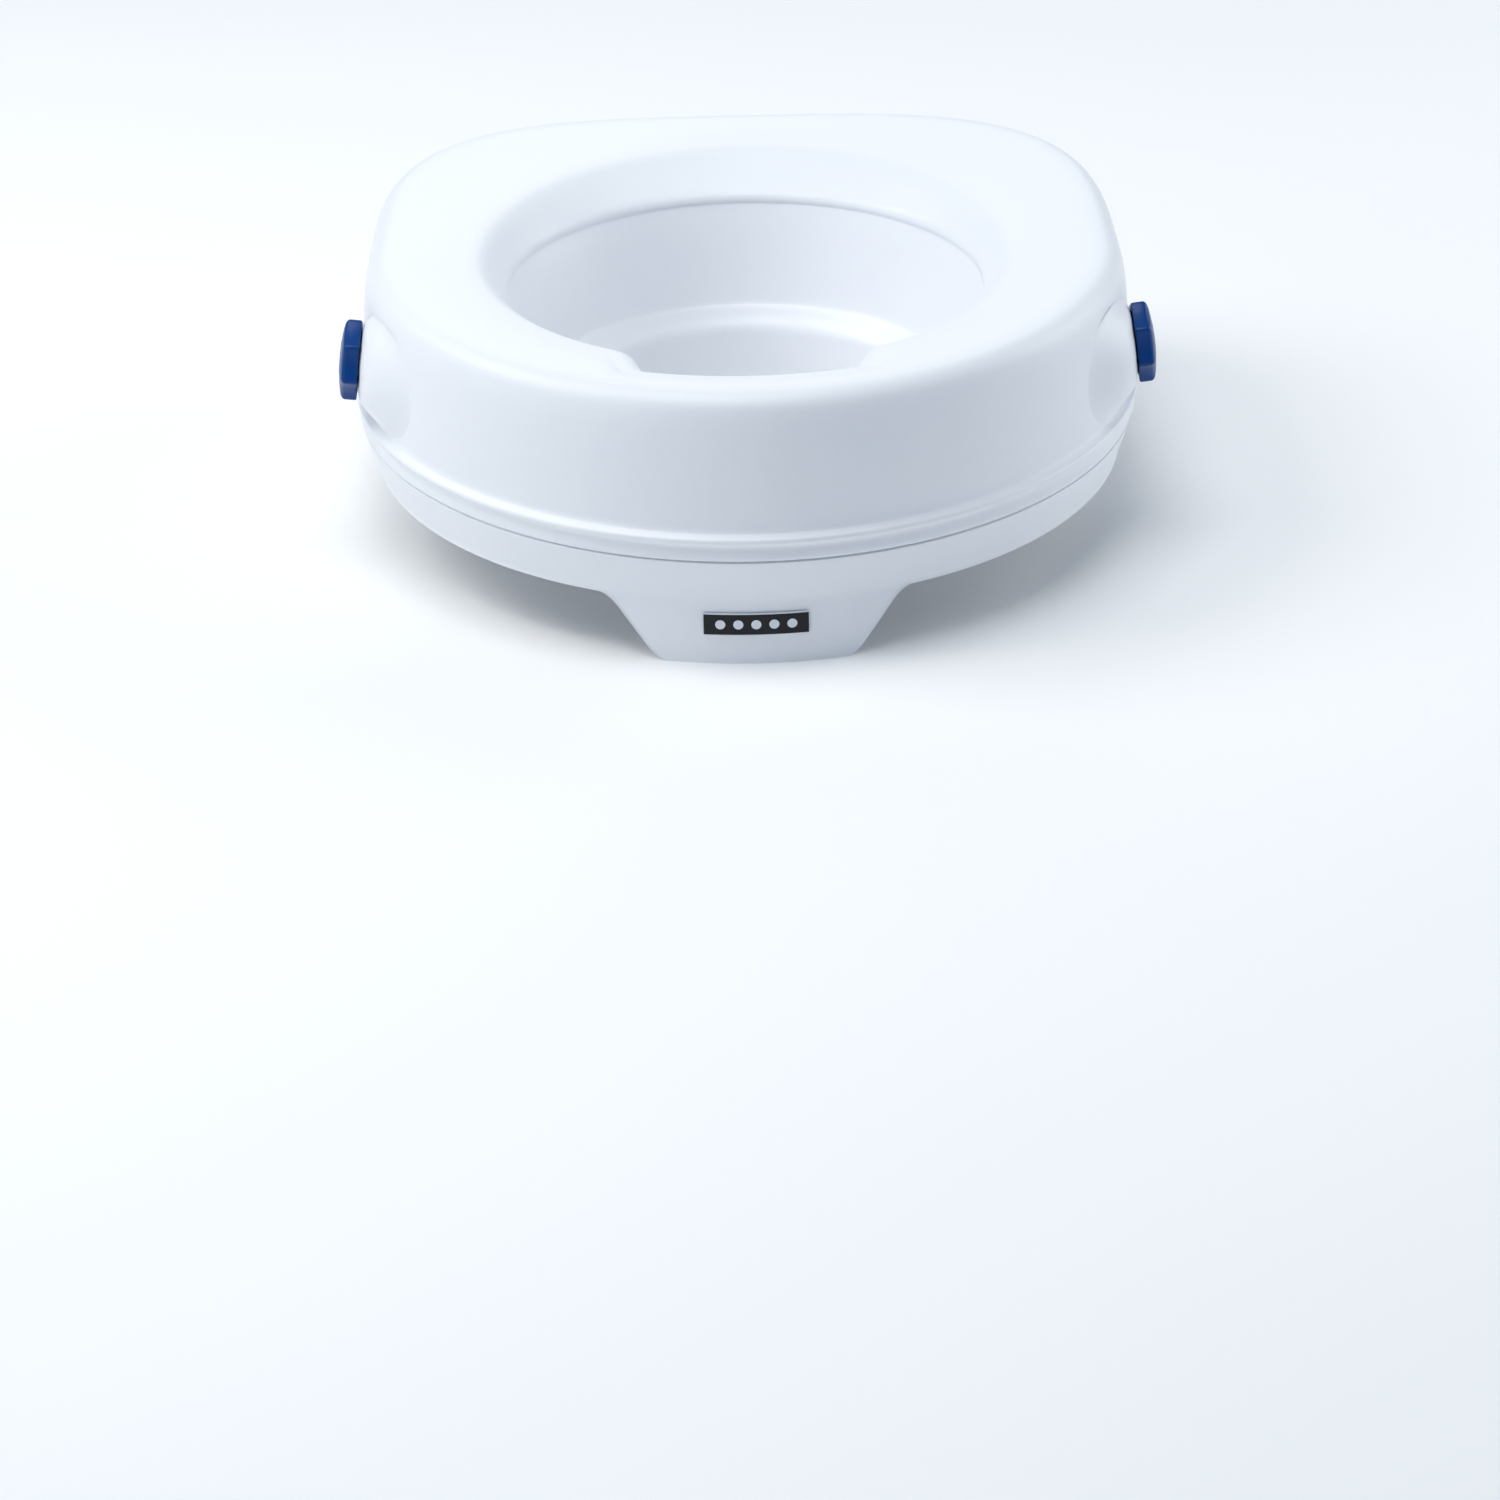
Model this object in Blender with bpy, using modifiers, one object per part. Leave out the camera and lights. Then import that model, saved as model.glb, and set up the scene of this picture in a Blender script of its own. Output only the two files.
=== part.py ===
"""Raised toilet seat: a hollow moulded seat that rests on a toilet bowl's rim.

Metres, +Z up, front towards -Y. The origin is the centre of the plane in which
the four rubber feet rest on the bowl's rim. A plan direction is an angle from
the front, positive towards the right-hand side (+X).
"""

import math
from collections import namedtuple

import bmesh
import bpy
from mathutils import Matrix, Vector

# Plan of the body: half an ellipse in front, a squarer superellipse behind.
HALF_WIDTH = 0.200
FRONT_DEPTH = 0.2115
REAR_DEPTH = 0.2085
FRONT_EXPONENT = 1.98
REAR_EXPONENT = 3.5

# Heights above the bowl's rim.
SKIRT_BOTTOM = 0.0080
SEAM_Z = 0.0126
BEAD_Z = 0.0235
SEAT_TOP = 0.094
LIP_BOTTOM = 0.069
BAND_TOP = 0.0120
BAND_BOTTOM = -0.0115
TAB_BOTTOM = -0.0440
GUARD_BOTTOM = -0.0200

SHELL_WALL = 0.0030
GUARD_WALL = 0.0025
FIT_GAP = 0.0003

# Half the width, then the reach to the rear and to the front, then the reach
# of the front notch (None where there is no notch).
Opening = namedtuple("Opening", "half_width rear front notch")
APERTURE = Opening(0.130, 0.144, 0.143, 0.1605)
THROAT = Opening(0.121, 0.121, 0.150, 0.158)
FUNNEL_MIDDLE = Opening(0.1125, 0.111, 0.134, None)
LEDGE_TOP = Opening(0.104, 0.101, 0.118, None)
LEDGE_BOTTOM = Opening(0.0935, 0.092, 0.104, None)
GUARD_END = Opening(0.090, 0.088, 0.100, None)
FUNNEL_MIDDLE_Z = 0.045
LEDGE_TOP_Z = 0.018
LEDGE_BOTTOM_Z = 0.009
GUARD_FLANGE_GROW = (0.0064, 0.0125)
GUARD_LIP_WIDTH = 0.0050
NOTCH_FLANK = 0.0885
NOTCH_FLARE = 0.25
NOTCH_ROUND = 0.0015

# Base plate.
PLATE_BOTTOM = 0.0083
PLATE_TOP = 0.0113
PLATE_INSET = 0.0100
PLATE_HOLE_GROW = 0.0070

# Screws: the base plate's into lugs on the shell, the bracket's into the plate.
SHANK_RADIUS = 0.00175
PILOT_RADIUS = 0.00205
LUG_DIRECTIONS = (58.0, 116.0, 158.0)
LUG_INSETS = (0.0075, 0.0230)
LUG_WIDTH = 0.0120
LUG_TOP = 0.0250
SCREW_INSET = 0.0165

# Rubber feet.
FOOT_RADIUS = 0.0110
FOOT_HOLE_RADIUS = 0.0036
FOOT_PLACES = ((35.0, 0.165), (140.0, 0.172))

# Side clamps: each knob's axis stands square to the drafted wall. Distances
# along it are counted from the wall's outer face, positive outwards.
KNOB_Y = -0.055
KNOB_Z = 0.056
KNOB_TILT = math.radians(7.0)
KNOB_WALL_INSET = 0.0047
KNOB_RADIUS = 0.021
KNOB_SCALLOPS = 7
KNOB_SCALLOP_DEPTH = 0.0029
KNOB_RIDGE_ANGLE = math.radians(38.0)
KNOB_SPAN = (0.0051, 0.0149)
WALL_BOSS_SPAN = (-0.0070, 0.0032)
WALL_BOSS_RADIUS = 0.0100
BUSH_RADIUS = 0.0075
BUSH_FLANGE_RADIUS = 0.0095
JOURNAL_RADIUS = 0.0050
THREAD_RADIUS = 0.0040
SPINDLE_SPAN = (-0.0620, 0.0128)
JAW_HALF_WIDTH = 0.0120
JAW_LEG_X = (0.1130, 0.1190)
JAW_PLATE_X = (0.1400, 0.1480)
JAW_WEB_Z = (0.0128, 0.0170)
JAW_TOP = 0.0660
JAW_BOTTOM = -0.0440
JAW_IN = 0.006
JAW_OUT = 0.018
NUT_ACROSS_FLATS = 0.0130

# Front bracket.
BAND_WALL = 0.0030
BAND_END = 88.0
BAND_INSETS = (0.0016, 0.0092)
TAB_HALF_WIDTHS = (0.0420, 0.0755)
FLANGE_Z = (0.0052, 0.0077)
FLANGE_HALF_WIDTH = 0.0450
FLANGE_REAR_Y = -0.1440
FLANGE_CORNER_SETBACK = 0.0055
BRACKET_SCREW = (0.0280, -0.1740)
BRACKET_TRAVEL = 0.020
SLOT_RADIUS = 0.0023
WASHER_RADII = (0.0024, 0.0065)
WASHER_THICKNESS = 0.0009

# Plain plate on the tab.
BADGE_HALF_WIDTH = 0.0262
BADGE_Z = (-0.0290, -0.0172)
BADGE_LIFT = 0.0004
BADGE_THICKNESS = 0.0008

Finish = namedtuple("Finish", "colour roughness metallic")
FINISHES = {
    "seat_white": Finish((0.86, 0.88, 0.92), 0.42, 0.0),
    "knob_blue": Finish((0.012, 0.045, 0.20), 0.45, 0.0),
    "badge_dark": Finish((0.02, 0.022, 0.03), 0.35, 0.0),
    "bright_steel": Finish((0.62, 0.63, 0.65), 0.28, 1.0),
    "grey_rubber": Finish((0.10, 0.10, 0.11), 0.75, 0.0),
    "bush_nylon": Finish((0.70, 0.71, 0.72), 0.50, 0.0),
}


# ---------------------------------------------------------------- plan curves

def outline_radius(direction, inset=0.0):
    """Distance from the centre to the body's outline, drawn in by inset."""
    forward = math.cos(direction)
    depth, exponent = (
        (FRONT_DEPTH, FRONT_EXPONENT) if forward > 0 else (REAR_DEPTH, REAR_EXPONENT)
    )
    across = abs(math.sin(direction)) / (HALF_WIDTH - inset)
    along = abs(forward) / (depth - inset)
    return (across**exponent + along**exponent) ** (-1 / exponent)


def soft_max(first, second):
    """The larger of two lengths, with the corner between them rounded."""
    step = abs(first - second) / NOTCH_ROUND
    return max(first, second) + NOTCH_ROUND * math.log1p(math.exp(-step))


def soft_min(first, second):
    return -soft_max(-first, -second)


def opening_radius(direction, opening, grow=0.0):
    """Distance from the centre to an opening's edge, grown all round."""
    forward, side = math.cos(direction), abs(math.sin(direction))
    depth = opening.front if forward > 0 else opening.rear
    ellipse = math.hypot(side / (opening.half_width + grow), forward / (depth + grow)) ** -1
    if opening.notch is None or forward <= 0:
        return ellipse
    flank = (NOTCH_FLANK + grow) / (side + NOTCH_FLARE * forward)
    return soft_max(ellipse, soft_min(opening.notch + grow, flank))


def plan_point(direction, radius, z):
    return Vector((radius * math.sin(direction), -radius * math.cos(direction), z))


def spaced(spans):
    """Angles in radians through (start, stop, steps) spans given in degrees."""
    angles = [a + (b - a) * i / n for a, b, n in spans for i in range(n)]
    return [math.radians(angle) for angle in angles + [spans[-1][1]]]


def round_directions():
    """Directions all round, closest together at the notch and rear corners."""
    half = spaced([(0, 15, 3), (15, 27, 6), (27, 105, 10), (105, 150, 9), (150, 180, 4)])
    return half + [-angle for angle in half[-2:0:-1]]


def band_directions():
    """Directions along the front bracket, from its left end to its right end."""
    half = spaced([(0, 10, 3), (10, 24, 9), (24, BAND_END, 10)])
    return [-angle for angle in half[:0:-1]] + half


def outline_ring(inset, z):
    return [plan_point(d, outline_radius(d, inset), z) for d in round_directions()]


def opening_ring(opening, z, grow=0.0):
    return [plan_point(d, opening_radius(d, opening, grow), z) for d in round_directions()]


def mixed(first, second, share):
    """A ring part of the way from one ring to another."""
    return [a.lerp(b, share) for a, b in zip(first, second)]


# ---------------------------------------------------------------- scene tools

def clear_scene():
    for item in list(bpy.data.objects):
        bpy.data.objects.remove(item, do_unlink=True)


def new_collection(name):
    collection = bpy.data.collections.new(name)
    bpy.context.scene.collection.children.link(collection)
    return collection


def make_material(name):
    finish = FINISHES[name]
    material = bpy.data.materials.new(name)
    material.use_nodes = True
    shader = material.node_tree.nodes["Principled BSDF"]
    shader.inputs["Base Color"].default_value = (*finish.colour, 1.0)
    shader.inputs["Roughness"].default_value = finish.roughness
    shader.inputs["Metallic"].default_value = finish.metallic
    return material


class Workshop:
    """The collections and materials that every piece is made with."""

    def __init__(self):
        self.parts = new_collection("raised_toilet_seat")
        self.cutters = new_collection("cutters")
        self.materials = {name: make_material(name) for name in FINISHES}

    def piece(self, name, mesh, finish, parent=None, matrix=None):
        """A finished piece's object, placed by its matrix under its parent."""
        item = bpy.data.objects.new(name, mesh)
        self.parts.objects.link(item)
        item.data.materials.clear()
        item.data.materials.append(self.materials[finish])
        item.data.shade_smooth()
        item.data.set_sharp_from_angle(angle=math.radians(35))
        item.parent = parent
        if matrix is not None:
            item.matrix_local = matrix
        return item

    def cutter(self, name, mesh):
        item = bpy.data.objects.new(name, mesh)
        self.cutters.objects.link(item)
        item.hide_render = True
        item.display_type = "WIRE"
        return item

    def pivot(self, name, matrix):
        """An empty on a joint's axis, which the moving pieces hang from."""
        empty = bpy.data.objects.new(name, None)
        self.parts.objects.link(empty)
        empty.empty_display_size = 0.03
        empty.matrix_local = matrix
        return empty

    def combine(self, item, name, mesh, operation):
        """Join or cut a piece with another mesh, kept as a live modifier."""
        boolean = item.modifiers.new(name, "BOOLEAN")
        boolean.operation = operation
        boolean.object = self.cutter(name, mesh)


def mesh_of(name, shape):
    mesh = bpy.data.meshes.new(name)
    shape.to_mesh(mesh)
    shape.free()
    return mesh


def skin(name, rows, wrap_rows=False, wrap_columns=True):
    """A mesh through rows of points, capped at the ends of unwrapped columns."""
    shape = bmesh.new()
    grid = [[shape.verts.new(point) for point in row] for row in rows]
    row_pairs = list(zip(grid, grid[1:])) + ([(grid[-1], grid[0])] if wrap_rows else [])
    columns = len(grid[0])
    for lower, upper in row_pairs:
        for i in range(columns if wrap_columns else columns - 1):
            j = (i + 1) % columns
            shape.faces.new((lower[i], lower[j], upper[j], upper[i]))
    if not wrap_columns:
        for end in (0, -1):
            shape.faces.new([row[end] for row in grid])
    if wrap_rows:
        bmesh.ops.recalc_face_normals(shape, faces=shape.faces)
    return mesh_of(name, shape)


def stacked(name, rings):
    """A closed solid through rings, with a flat cap on the first and the last."""
    shape = bmesh.new()
    grid = [[shape.verts.new(point) for point in ring] for ring in rings]
    count = len(grid[0])
    for lower, upper in zip(grid, grid[1:]):
        for i in range(count):
            j = (i + 1) % count
            shape.faces.new((lower[i], lower[j], upper[j], upper[i]))
    shape.faces.new(grid[0])
    shape.faces.new(grid[-1])
    bmesh.ops.recalc_face_normals(shape, faces=shape.faces)
    return mesh_of(name, shape)


def add_box(shape, low, high, turn=0.0):
    """A box between two corners, turned about Z through the world's origin."""
    low, high = Vector(low), Vector(high)
    size = Matrix.Diagonal((*(high - low), 1.0))
    matrix = Matrix.Rotation(turn, 4, "Z") @ Matrix.Translation((low + high) / 2) @ size
    bmesh.ops.create_cube(shape, size=1.0, matrix=matrix)


def add_rod(shape, start, axis, length, radius, sides=20):
    """A cylinder from its start along an axis."""
    turn = Vector(axis).to_track_quat("Z", "Y").to_matrix().to_4x4()
    matrix = Matrix.Translation(start) @ turn @ Matrix.Translation((0, 0, length / 2))
    bmesh.ops.create_cone(
        shape, cap_ends=True, segments=sides, radius1=radius, radius2=radius,
        depth=length, matrix=matrix,
    )


def circle(radius, sides=20, centre=(0.0, 0.0)):
    steps = [2 * math.pi * i / sides for i in range(sides)]
    return [(centre[0] + radius * math.cos(t), centre[1] + radius * math.sin(t)) for t in steps]


def slab(name, outlines, bottom, top):
    """A flat solid between two heights; outlines after the first are holes."""
    curve = bpy.data.curves.new(name, "CURVE")
    curve.dimensions = "2D"
    curve.fill_mode = "BOTH"
    curve.extrude = (top - bottom) / 2
    for outline in outlines:
        spline = curve.splines.new("POLY")
        spline.points.add(len(outline) - 1)
        for point, (x, y) in zip(spline.points, outline):
            point.co = (x, y, 0, 1)
        spline.use_cyclic_u = True
    guide = bpy.data.objects.new(name + "_outline", curve)
    bpy.context.scene.collection.objects.link(guide)
    evaluated = guide.evaluated_get(bpy.context.evaluated_depsgraph_get())
    mesh = bpy.data.meshes.new_from_object(evaluated)
    bpy.data.objects.remove(guide, do_unlink=True)
    shape = bmesh.new()
    shape.from_mesh(mesh)
    bmesh.ops.remove_doubles(shape, verts=shape.verts, dist=0.00001)
    bmesh.ops.translate(shape, verts=shape.verts, vec=(0, 0, (top + bottom) / 2))
    bmesh.ops.recalc_face_normals(shape, faces=shape.faces)
    return mesh_of(name, shape)


def turned(workshop, name, profile, finish, parent, matrix, steps=16, ring=False):
    """A turned piece: a (radius, height) profile, top to bottom, about its Z."""
    shape = bmesh.new()
    points = [shape.verts.new((radius, 0, height)) for radius, height in profile]
    for first, second in zip(points, points[1:]):
        shape.edges.new((first, second))
    if ring:
        shape.edges.new((points[-1], points[0]))
    item = workshop.piece(name, mesh_of(name, shape), finish, parent, matrix)
    screw = item.modifiers.new("turn", "SCREW")
    screw.angle = 2 * math.pi
    screw.steps = steps
    screw.render_steps = steps
    screw.use_merge_vertices = True
    screw.merge_threshold = 0.00005
    return item


def polar_pairs(points):
    return [(point.x, point.y) for point in points]


# ---------------------------------------------------------------- seat body

def lug_frames():
    """Each screw lug's direction and outline distance, right and left."""
    for degrees in LUG_DIRECTIONS:
        for side in (1, -1):
            direction = side * math.radians(degrees)
            yield direction, outline_radius(direction)


def shell_rings():
    """The seat's outer surface, from the skirt up, over and into the aperture."""
    wall = (
        (0.0066, SKIRT_BOTTOM), (0.0054, SEAM_Z - 0.0002), (0.0018, SEAM_Z),
        (0.0013, 0.0180), (0.0, BEAD_Z), (0.0017, 0.0290), (0.0042, 0.0520),
        (0.0080, 0.0820), (0.0108, 0.0890), (0.0160, 0.0928), (0.0240, SEAT_TOP),
    )
    rings = [outline_ring(inset, z) for inset, z in wall]
    lip_crest = opening_ring(APERTURE, 0.0910, grow=0.014)
    rings.append([p - Vector((0, 0, 0.0008)) for p in mixed(rings[-1], lip_crest, 0.5)])
    rings.append(lip_crest)
    rings.append(opening_ring(APERTURE, 0.0892, grow=0.005))
    rings.append(opening_ring(APERTURE, 0.0845))
    rings.append(mixed(opening_ring(APERTURE, 0.0780), opening_ring(THROAT, 0.0780), 0.6))
    rings.append(opening_ring(THROAT, LIP_BOTTOM + 0.0040))
    rings.append(opening_ring(THROAT, LIP_BOTTOM))
    return rings


def make_shell(workshop):
    shell = workshop.piece("seat_shell", skin("seat_shell", shell_rings()), "seat_white")
    thickness = shell.modifiers.new("wall", "SOLIDIFY")
    thickness.thickness = SHELL_WALL
    thickness.offset = -1

    added, bores = bmesh.new(), bmesh.new()
    for direction, reach in lug_frames():
        add_box(
            added,
            (-LUG_WIDTH / 2, -reach + LUG_INSETS[0], PLATE_TOP + FIT_GAP),
            (LUG_WIDTH / 2, -reach + LUG_INSETS[1], LUG_TOP),
            turn=direction,
        )
        place = plan_point(direction, reach - SCREW_INSET, PLATE_TOP - 0.001)
        add_rod(bores, place, (0, 0, 1), LUG_TOP - PLATE_TOP - 0.001, PILOT_RADIUS, sides=12)
    for side in (1, -1):
        low, high = WALL_BOSS_SPAN
        add_clamp_rod(added, side, low, high, WALL_BOSS_RADIUS, 24)
        add_clamp_rod(bores, side, low - 0.004, high + 0.004, BUSH_RADIUS + FIT_GAP)
    workshop.combine(shell, "shell_lugs", mesh_of("shell_lugs", added), "UNION")
    workshop.combine(shell, "shell_bores", mesh_of("shell_bores", bores), "DIFFERENCE")


def make_guard(workshop):
    """The funnel that lines the seat and hangs inside the bowl."""
    top = LIP_BOTTOM - 2 * FIT_GAP
    flange_bottom, flange_top = PLATE_TOP + FIT_GAP, PLATE_TOP + GUARD_WALL
    flange_inner, flange_outer = GUARD_FLANGE_GROW
    rows = [
        opening_ring(THROAT, top),
        opening_ring(FUNNEL_MIDDLE, FUNNEL_MIDDLE_Z),
        opening_ring(LEDGE_TOP, LEDGE_TOP_Z),
        opening_ring(LEDGE_BOTTOM, LEDGE_BOTTOM_Z),
        opening_ring(GUARD_END, GUARD_BOTTOM),
        opening_ring(GUARD_END, GUARD_BOTTOM, GUARD_WALL),
        opening_ring(LEDGE_BOTTOM, LEDGE_BOTTOM_Z - 0.0010, GUARD_WALL),
        opening_ring(LEDGE_BOTTOM, flange_bottom, flange_inner),
        opening_ring(LEDGE_BOTTOM, flange_bottom, flange_outer),
        opening_ring(LEDGE_BOTTOM, flange_top, flange_outer),
        opening_ring(LEDGE_BOTTOM, flange_top, flange_inner + GUARD_WALL),
        opening_ring(LEDGE_TOP, LEDGE_TOP_Z + 0.0010, GUARD_WALL),
        opening_ring(FUNNEL_MIDDLE, FUNNEL_MIDDLE_Z, GUARD_WALL),
        opening_ring(THROAT, top - GUARD_WALL, GUARD_WALL),
        opening_ring(THROAT, top - GUARD_WALL, GUARD_LIP_WIDTH),
        opening_ring(THROAT, top, GUARD_LIP_WIDTH),
    ]
    workshop.piece("splash_guard", skin("splash_guard", rows, wrap_rows=True), "seat_white")


def jaw_slot(side):
    """The hole in the base plate that a jaw's leg moves along."""
    near = JAW_LEG_X[0] - JAW_IN - 0.0015
    far = JAW_LEG_X[1] + JAW_OUT + 0.0015
    front, back = KNOB_Y - JAW_HALF_WIDTH - 0.0015, KNOB_Y + JAW_HALF_WIDTH + 0.0015
    return [(side * near, front), (side * far, front), (side * far, back), (side * near, back)]


def foot_places():
    for degrees, reach in FOOT_PLACES:
        for side in (1, -1):
            yield plan_point(side * math.radians(degrees), reach, 0.0)


def make_base_plate(workshop):
    outlines = [
        polar_pairs(outline_ring(PLATE_INSET, 0)),
        polar_pairs(opening_ring(LEDGE_BOTTOM, 0, PLATE_HOLE_GROW)),
        jaw_slot(1),
        jaw_slot(-1),
    ]
    for direction, reach in lug_frames():
        centre = plan_point(direction, reach - SCREW_INSET, 0)
        outlines.append(circle(PILOT_RADIUS, 12, centre))
    outlines += [circle(FOOT_HOLE_RADIUS, 16, place) for place in foot_places()]
    plate = workshop.piece(
        "base_plate", slab("base_plate", outlines, PLATE_BOTTOM, PLATE_TOP), "seat_white"
    )
    bosses, bores = bmesh.new(), bmesh.new()
    for side in (1, -1):
        x, y = side * BRACKET_SCREW[0], BRACKET_SCREW[1]
        add_rod(bosses, (x, y, PLATE_TOP - 0.001), (0, 0, 1), 0.0097, 0.0050)
        add_rod(bores, (x, y, PLATE_BOTTOM - 0.001), (0, 0, 1), 0.0110, PILOT_RADIUS, 12)
    workshop.combine(plate, "plate_bosses", mesh_of("plate_bosses", bosses), "UNION")
    workshop.combine(plate, "plate_bores", mesh_of("plate_bores", bores), "DIFFERENCE")


def screw_profile(head_radius, head_height, length):
    """A pan-head screw, its head's bearing face at height zero, shank upwards."""
    return [
        (0.0, length), (SHANK_RADIUS * 0.55, length), (SHANK_RADIUS, length - 0.0015),
        (SHANK_RADIUS, 0.0), (head_radius, 0.0), (head_radius, -0.6 * head_height),
        (0.75 * head_radius, -head_height), (0.0, -head_height),
    ]


def make_fixings(workshop):
    """The feet and the screws that hold the base plate to the shell."""
    names = ("front_right", "front_left", "rear_right", "rear_left")
    foot = [
        (0.0, 0.0140), (0.0026, 0.0140), (0.0046, 0.0126), (0.0046, 0.0117),
        (0.0031, 0.0116), (0.0031, 0.0080), (0.0100, 0.0080), (FOOT_RADIUS, 0.0070),
        (FOOT_RADIUS, 0.0012), (0.0098, 0.0), (0.0, 0.0),
    ]
    for name, place in zip(names, foot_places()):
        matrix = Matrix.Translation(place)
        turned(workshop, "foot_" + name, foot, "grey_rubber", None, matrix, steps=14)
    profile = screw_profile(0.0036, 0.0022, 0.0130)
    for number, (direction, reach) in enumerate(lug_frames(), start=1):
        place = plan_point(direction, reach - SCREW_INSET, PLATE_BOTTOM - FIT_GAP)
        matrix = Matrix.Translation(place)
        turned(workshop, f"base_screw_{number}", profile, "bright_steel", None, matrix, steps=12)


# ---------------------------------------------------------------- side clamps

def clamp_frame(side):
    """The clamp's own frame: at the wall's face, its Z out along the axis."""
    reach = 1 - (-KNOB_Y / FRONT_DEPTH) ** FRONT_EXPONENT
    wall_x = HALF_WIDTH * reach ** (1 / FRONT_EXPONENT) - KNOB_WALL_INSET
    turn = Matrix.Rotation(side * (math.pi / 2 - KNOB_TILT), 4, "Y")
    return Matrix.Translation((side * wall_x, KNOB_Y, KNOB_Z)) @ turn


def add_clamp_rod(shape, side, low, high, radius, sides=20):
    """A cylinder about a clamp's axis, between two distances from the wall."""
    matrix = clamp_frame(side) @ Matrix.Translation((0, 0, (low + high) / 2))
    bmesh.ops.create_cone(
        shape, cap_ends=True, segments=sides, radius1=radius, radius2=radius,
        depth=high - low, matrix=matrix,
    )


def make_knob(workshop, name, axis, side):
    """A scalloped hand knob with a shallow dome, bored from its inner face."""
    steps = 6
    phase = math.atan2(-math.cos(KNOB_RIDGE_ANGLE), -side * math.sin(KNOB_RIDGE_ANGLE))

    def ring(scale, z):
        points = []
        for i in range(steps * KNOB_SCALLOPS):
            angle = phase + 2 * math.pi * i / (steps * KNOB_SCALLOPS)
            across = 2 * (i % steps) / steps - 1
            radius = (KNOB_RADIUS - KNOB_SCALLOP_DEPTH * (1 - across**2)) * scale
            points.append((radius * math.cos(angle), radius * math.sin(angle), z))
        return points

    low, high = KNOB_SPAN
    levels = ((0.95, low), (1.0, low + 0.0010), (1.0, high - 0.0034), (0.95, high - 0.0022),
              (0.60, high - 0.0004), (0.25, high))
    mesh = stacked(name, [ring(scale, z) for scale, z in levels])
    knob = workshop.piece(name, mesh, "knob_blue", axis)
    bore = bmesh.new()
    add_clamp_rod(bore, side, low - 0.001, high - 0.0018, THREAD_RADIUS + FIT_GAP)
    workshop.combine(knob, name + "_bore", mesh_of(name + "_bore", bore), "DIFFERENCE")


def make_spindle(workshop, name, axis):
    journal_in, journal_out = -0.0095, KNOB_SPAN[0] - FIT_GAP
    inner, outer = SPINDLE_SPAN
    profile = [
        (0.0, outer), (0.0032, outer), (THREAD_RADIUS, outer - 0.0008),
        (THREAD_RADIUS, journal_out), (JOURNAL_RADIUS, journal_out),
        (JOURNAL_RADIUS, journal_in), (THREAD_RADIUS, journal_in),
        (THREAD_RADIUS, inner + 0.0015), (0.0028, inner), (0.0, inner),
    ]
    turned(workshop, name, profile, "bright_steel", axis, None, steps=16)


def make_bush(workshop, name, axis):
    bore, inner = JOURNAL_RADIUS + FIT_GAP, WALL_BOSS_SPAN[0] - FIT_GAP
    face = WALL_BOSS_SPAN[1] + FIT_GAP
    profile = [
        (bore, face + 0.0012), (BUSH_FLANGE_RADIUS, face + 0.0012), (BUSH_FLANGE_RADIUS, face),
        (BUSH_RADIUS, face), (BUSH_RADIUS, inner), (bore, inner),
    ]
    turned(workshop, name, profile, "bush_nylon", axis, None, steps=20, ring=True)


def make_clip(workshop, name, axis):
    """An open retaining ring behind the bush."""
    inner, outer, steps = JOURNAL_RADIUS + FIT_GAP, 0.0088, 14
    sweep = [math.radians(30 + 300 * i / steps) for i in range(steps + 1)]
    outline = [(outer * math.cos(t), outer * math.sin(t)) for t in sweep]
    outline += [(inner * math.cos(t), inner * math.sin(t)) for t in reversed(sweep)]
    behind = WALL_BOSS_SPAN[0] - 2 * FIT_GAP
    workshop.piece(name, slab(name, [outline], behind - 0.0013, behind), "bright_steel", axis)


def make_jaw(workshop, name, axis, side):
    """The cranked jaw: a plate that carries the nut and a leg into the bowl."""
    leg_in, leg_out = JAW_LEG_X
    plate_in, plate_out = JAW_PLATE_X
    web_low, web_high = JAW_WEB_Z
    outline = [
        (leg_in, JAW_BOTTOM), (leg_out, JAW_BOTTOM), (leg_out, web_low),
        (plate_out, web_low), (plate_out, JAW_TOP), (plate_in, JAW_TOP),
        (plate_in, web_high + 0.006), (plate_in - 0.006, web_high), (leg_in, web_high),
    ]
    mesh = slab(name, [outline], -JAW_HALF_WIDTH, JAW_HALF_WIDTH)
    upright = Matrix.Rotation(math.pi / 2, 4, "X")
    to_axis = Matrix.Translation((0, 0, -KNOB_Z))
    mesh.transform(to_axis @ Matrix.Diagonal((side, 1, 1, 1)) @ upright)
    if side < 0:
        mesh.flip_normals()
    jaw = workshop.piece(name, mesh, "seat_white", axis)
    seat = nut_seat(side)
    bore, pocket = bmesh.new(), bmesh.new()
    add_clamp_rod(bore, side, seat - 0.010, seat + 0.010, THREAD_RADIUS + 0.0006)
    add_clamp_rod(pocket, side, seat, seat + 0.010, nut_corner() + FIT_GAP, 6)
    workshop.combine(jaw, name + "_bore", mesh_of(name + "_bore", bore), "DIFFERENCE")
    workshop.combine(jaw, name + "_pocket", mesh_of(name + "_pocket", pocket), "DIFFERENCE")


def nut_corner():
    return NUT_ACROSS_FLATS / math.sqrt(3)


def nut_seat(side):
    """Distance from the wall to the floor of the nut's pocket in the jaw."""
    wall_x = abs(clamp_frame(side).translation.x)
    return -(wall_x - JAW_PLATE_X[1] + 0.004) / math.cos(KNOB_TILT)


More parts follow.
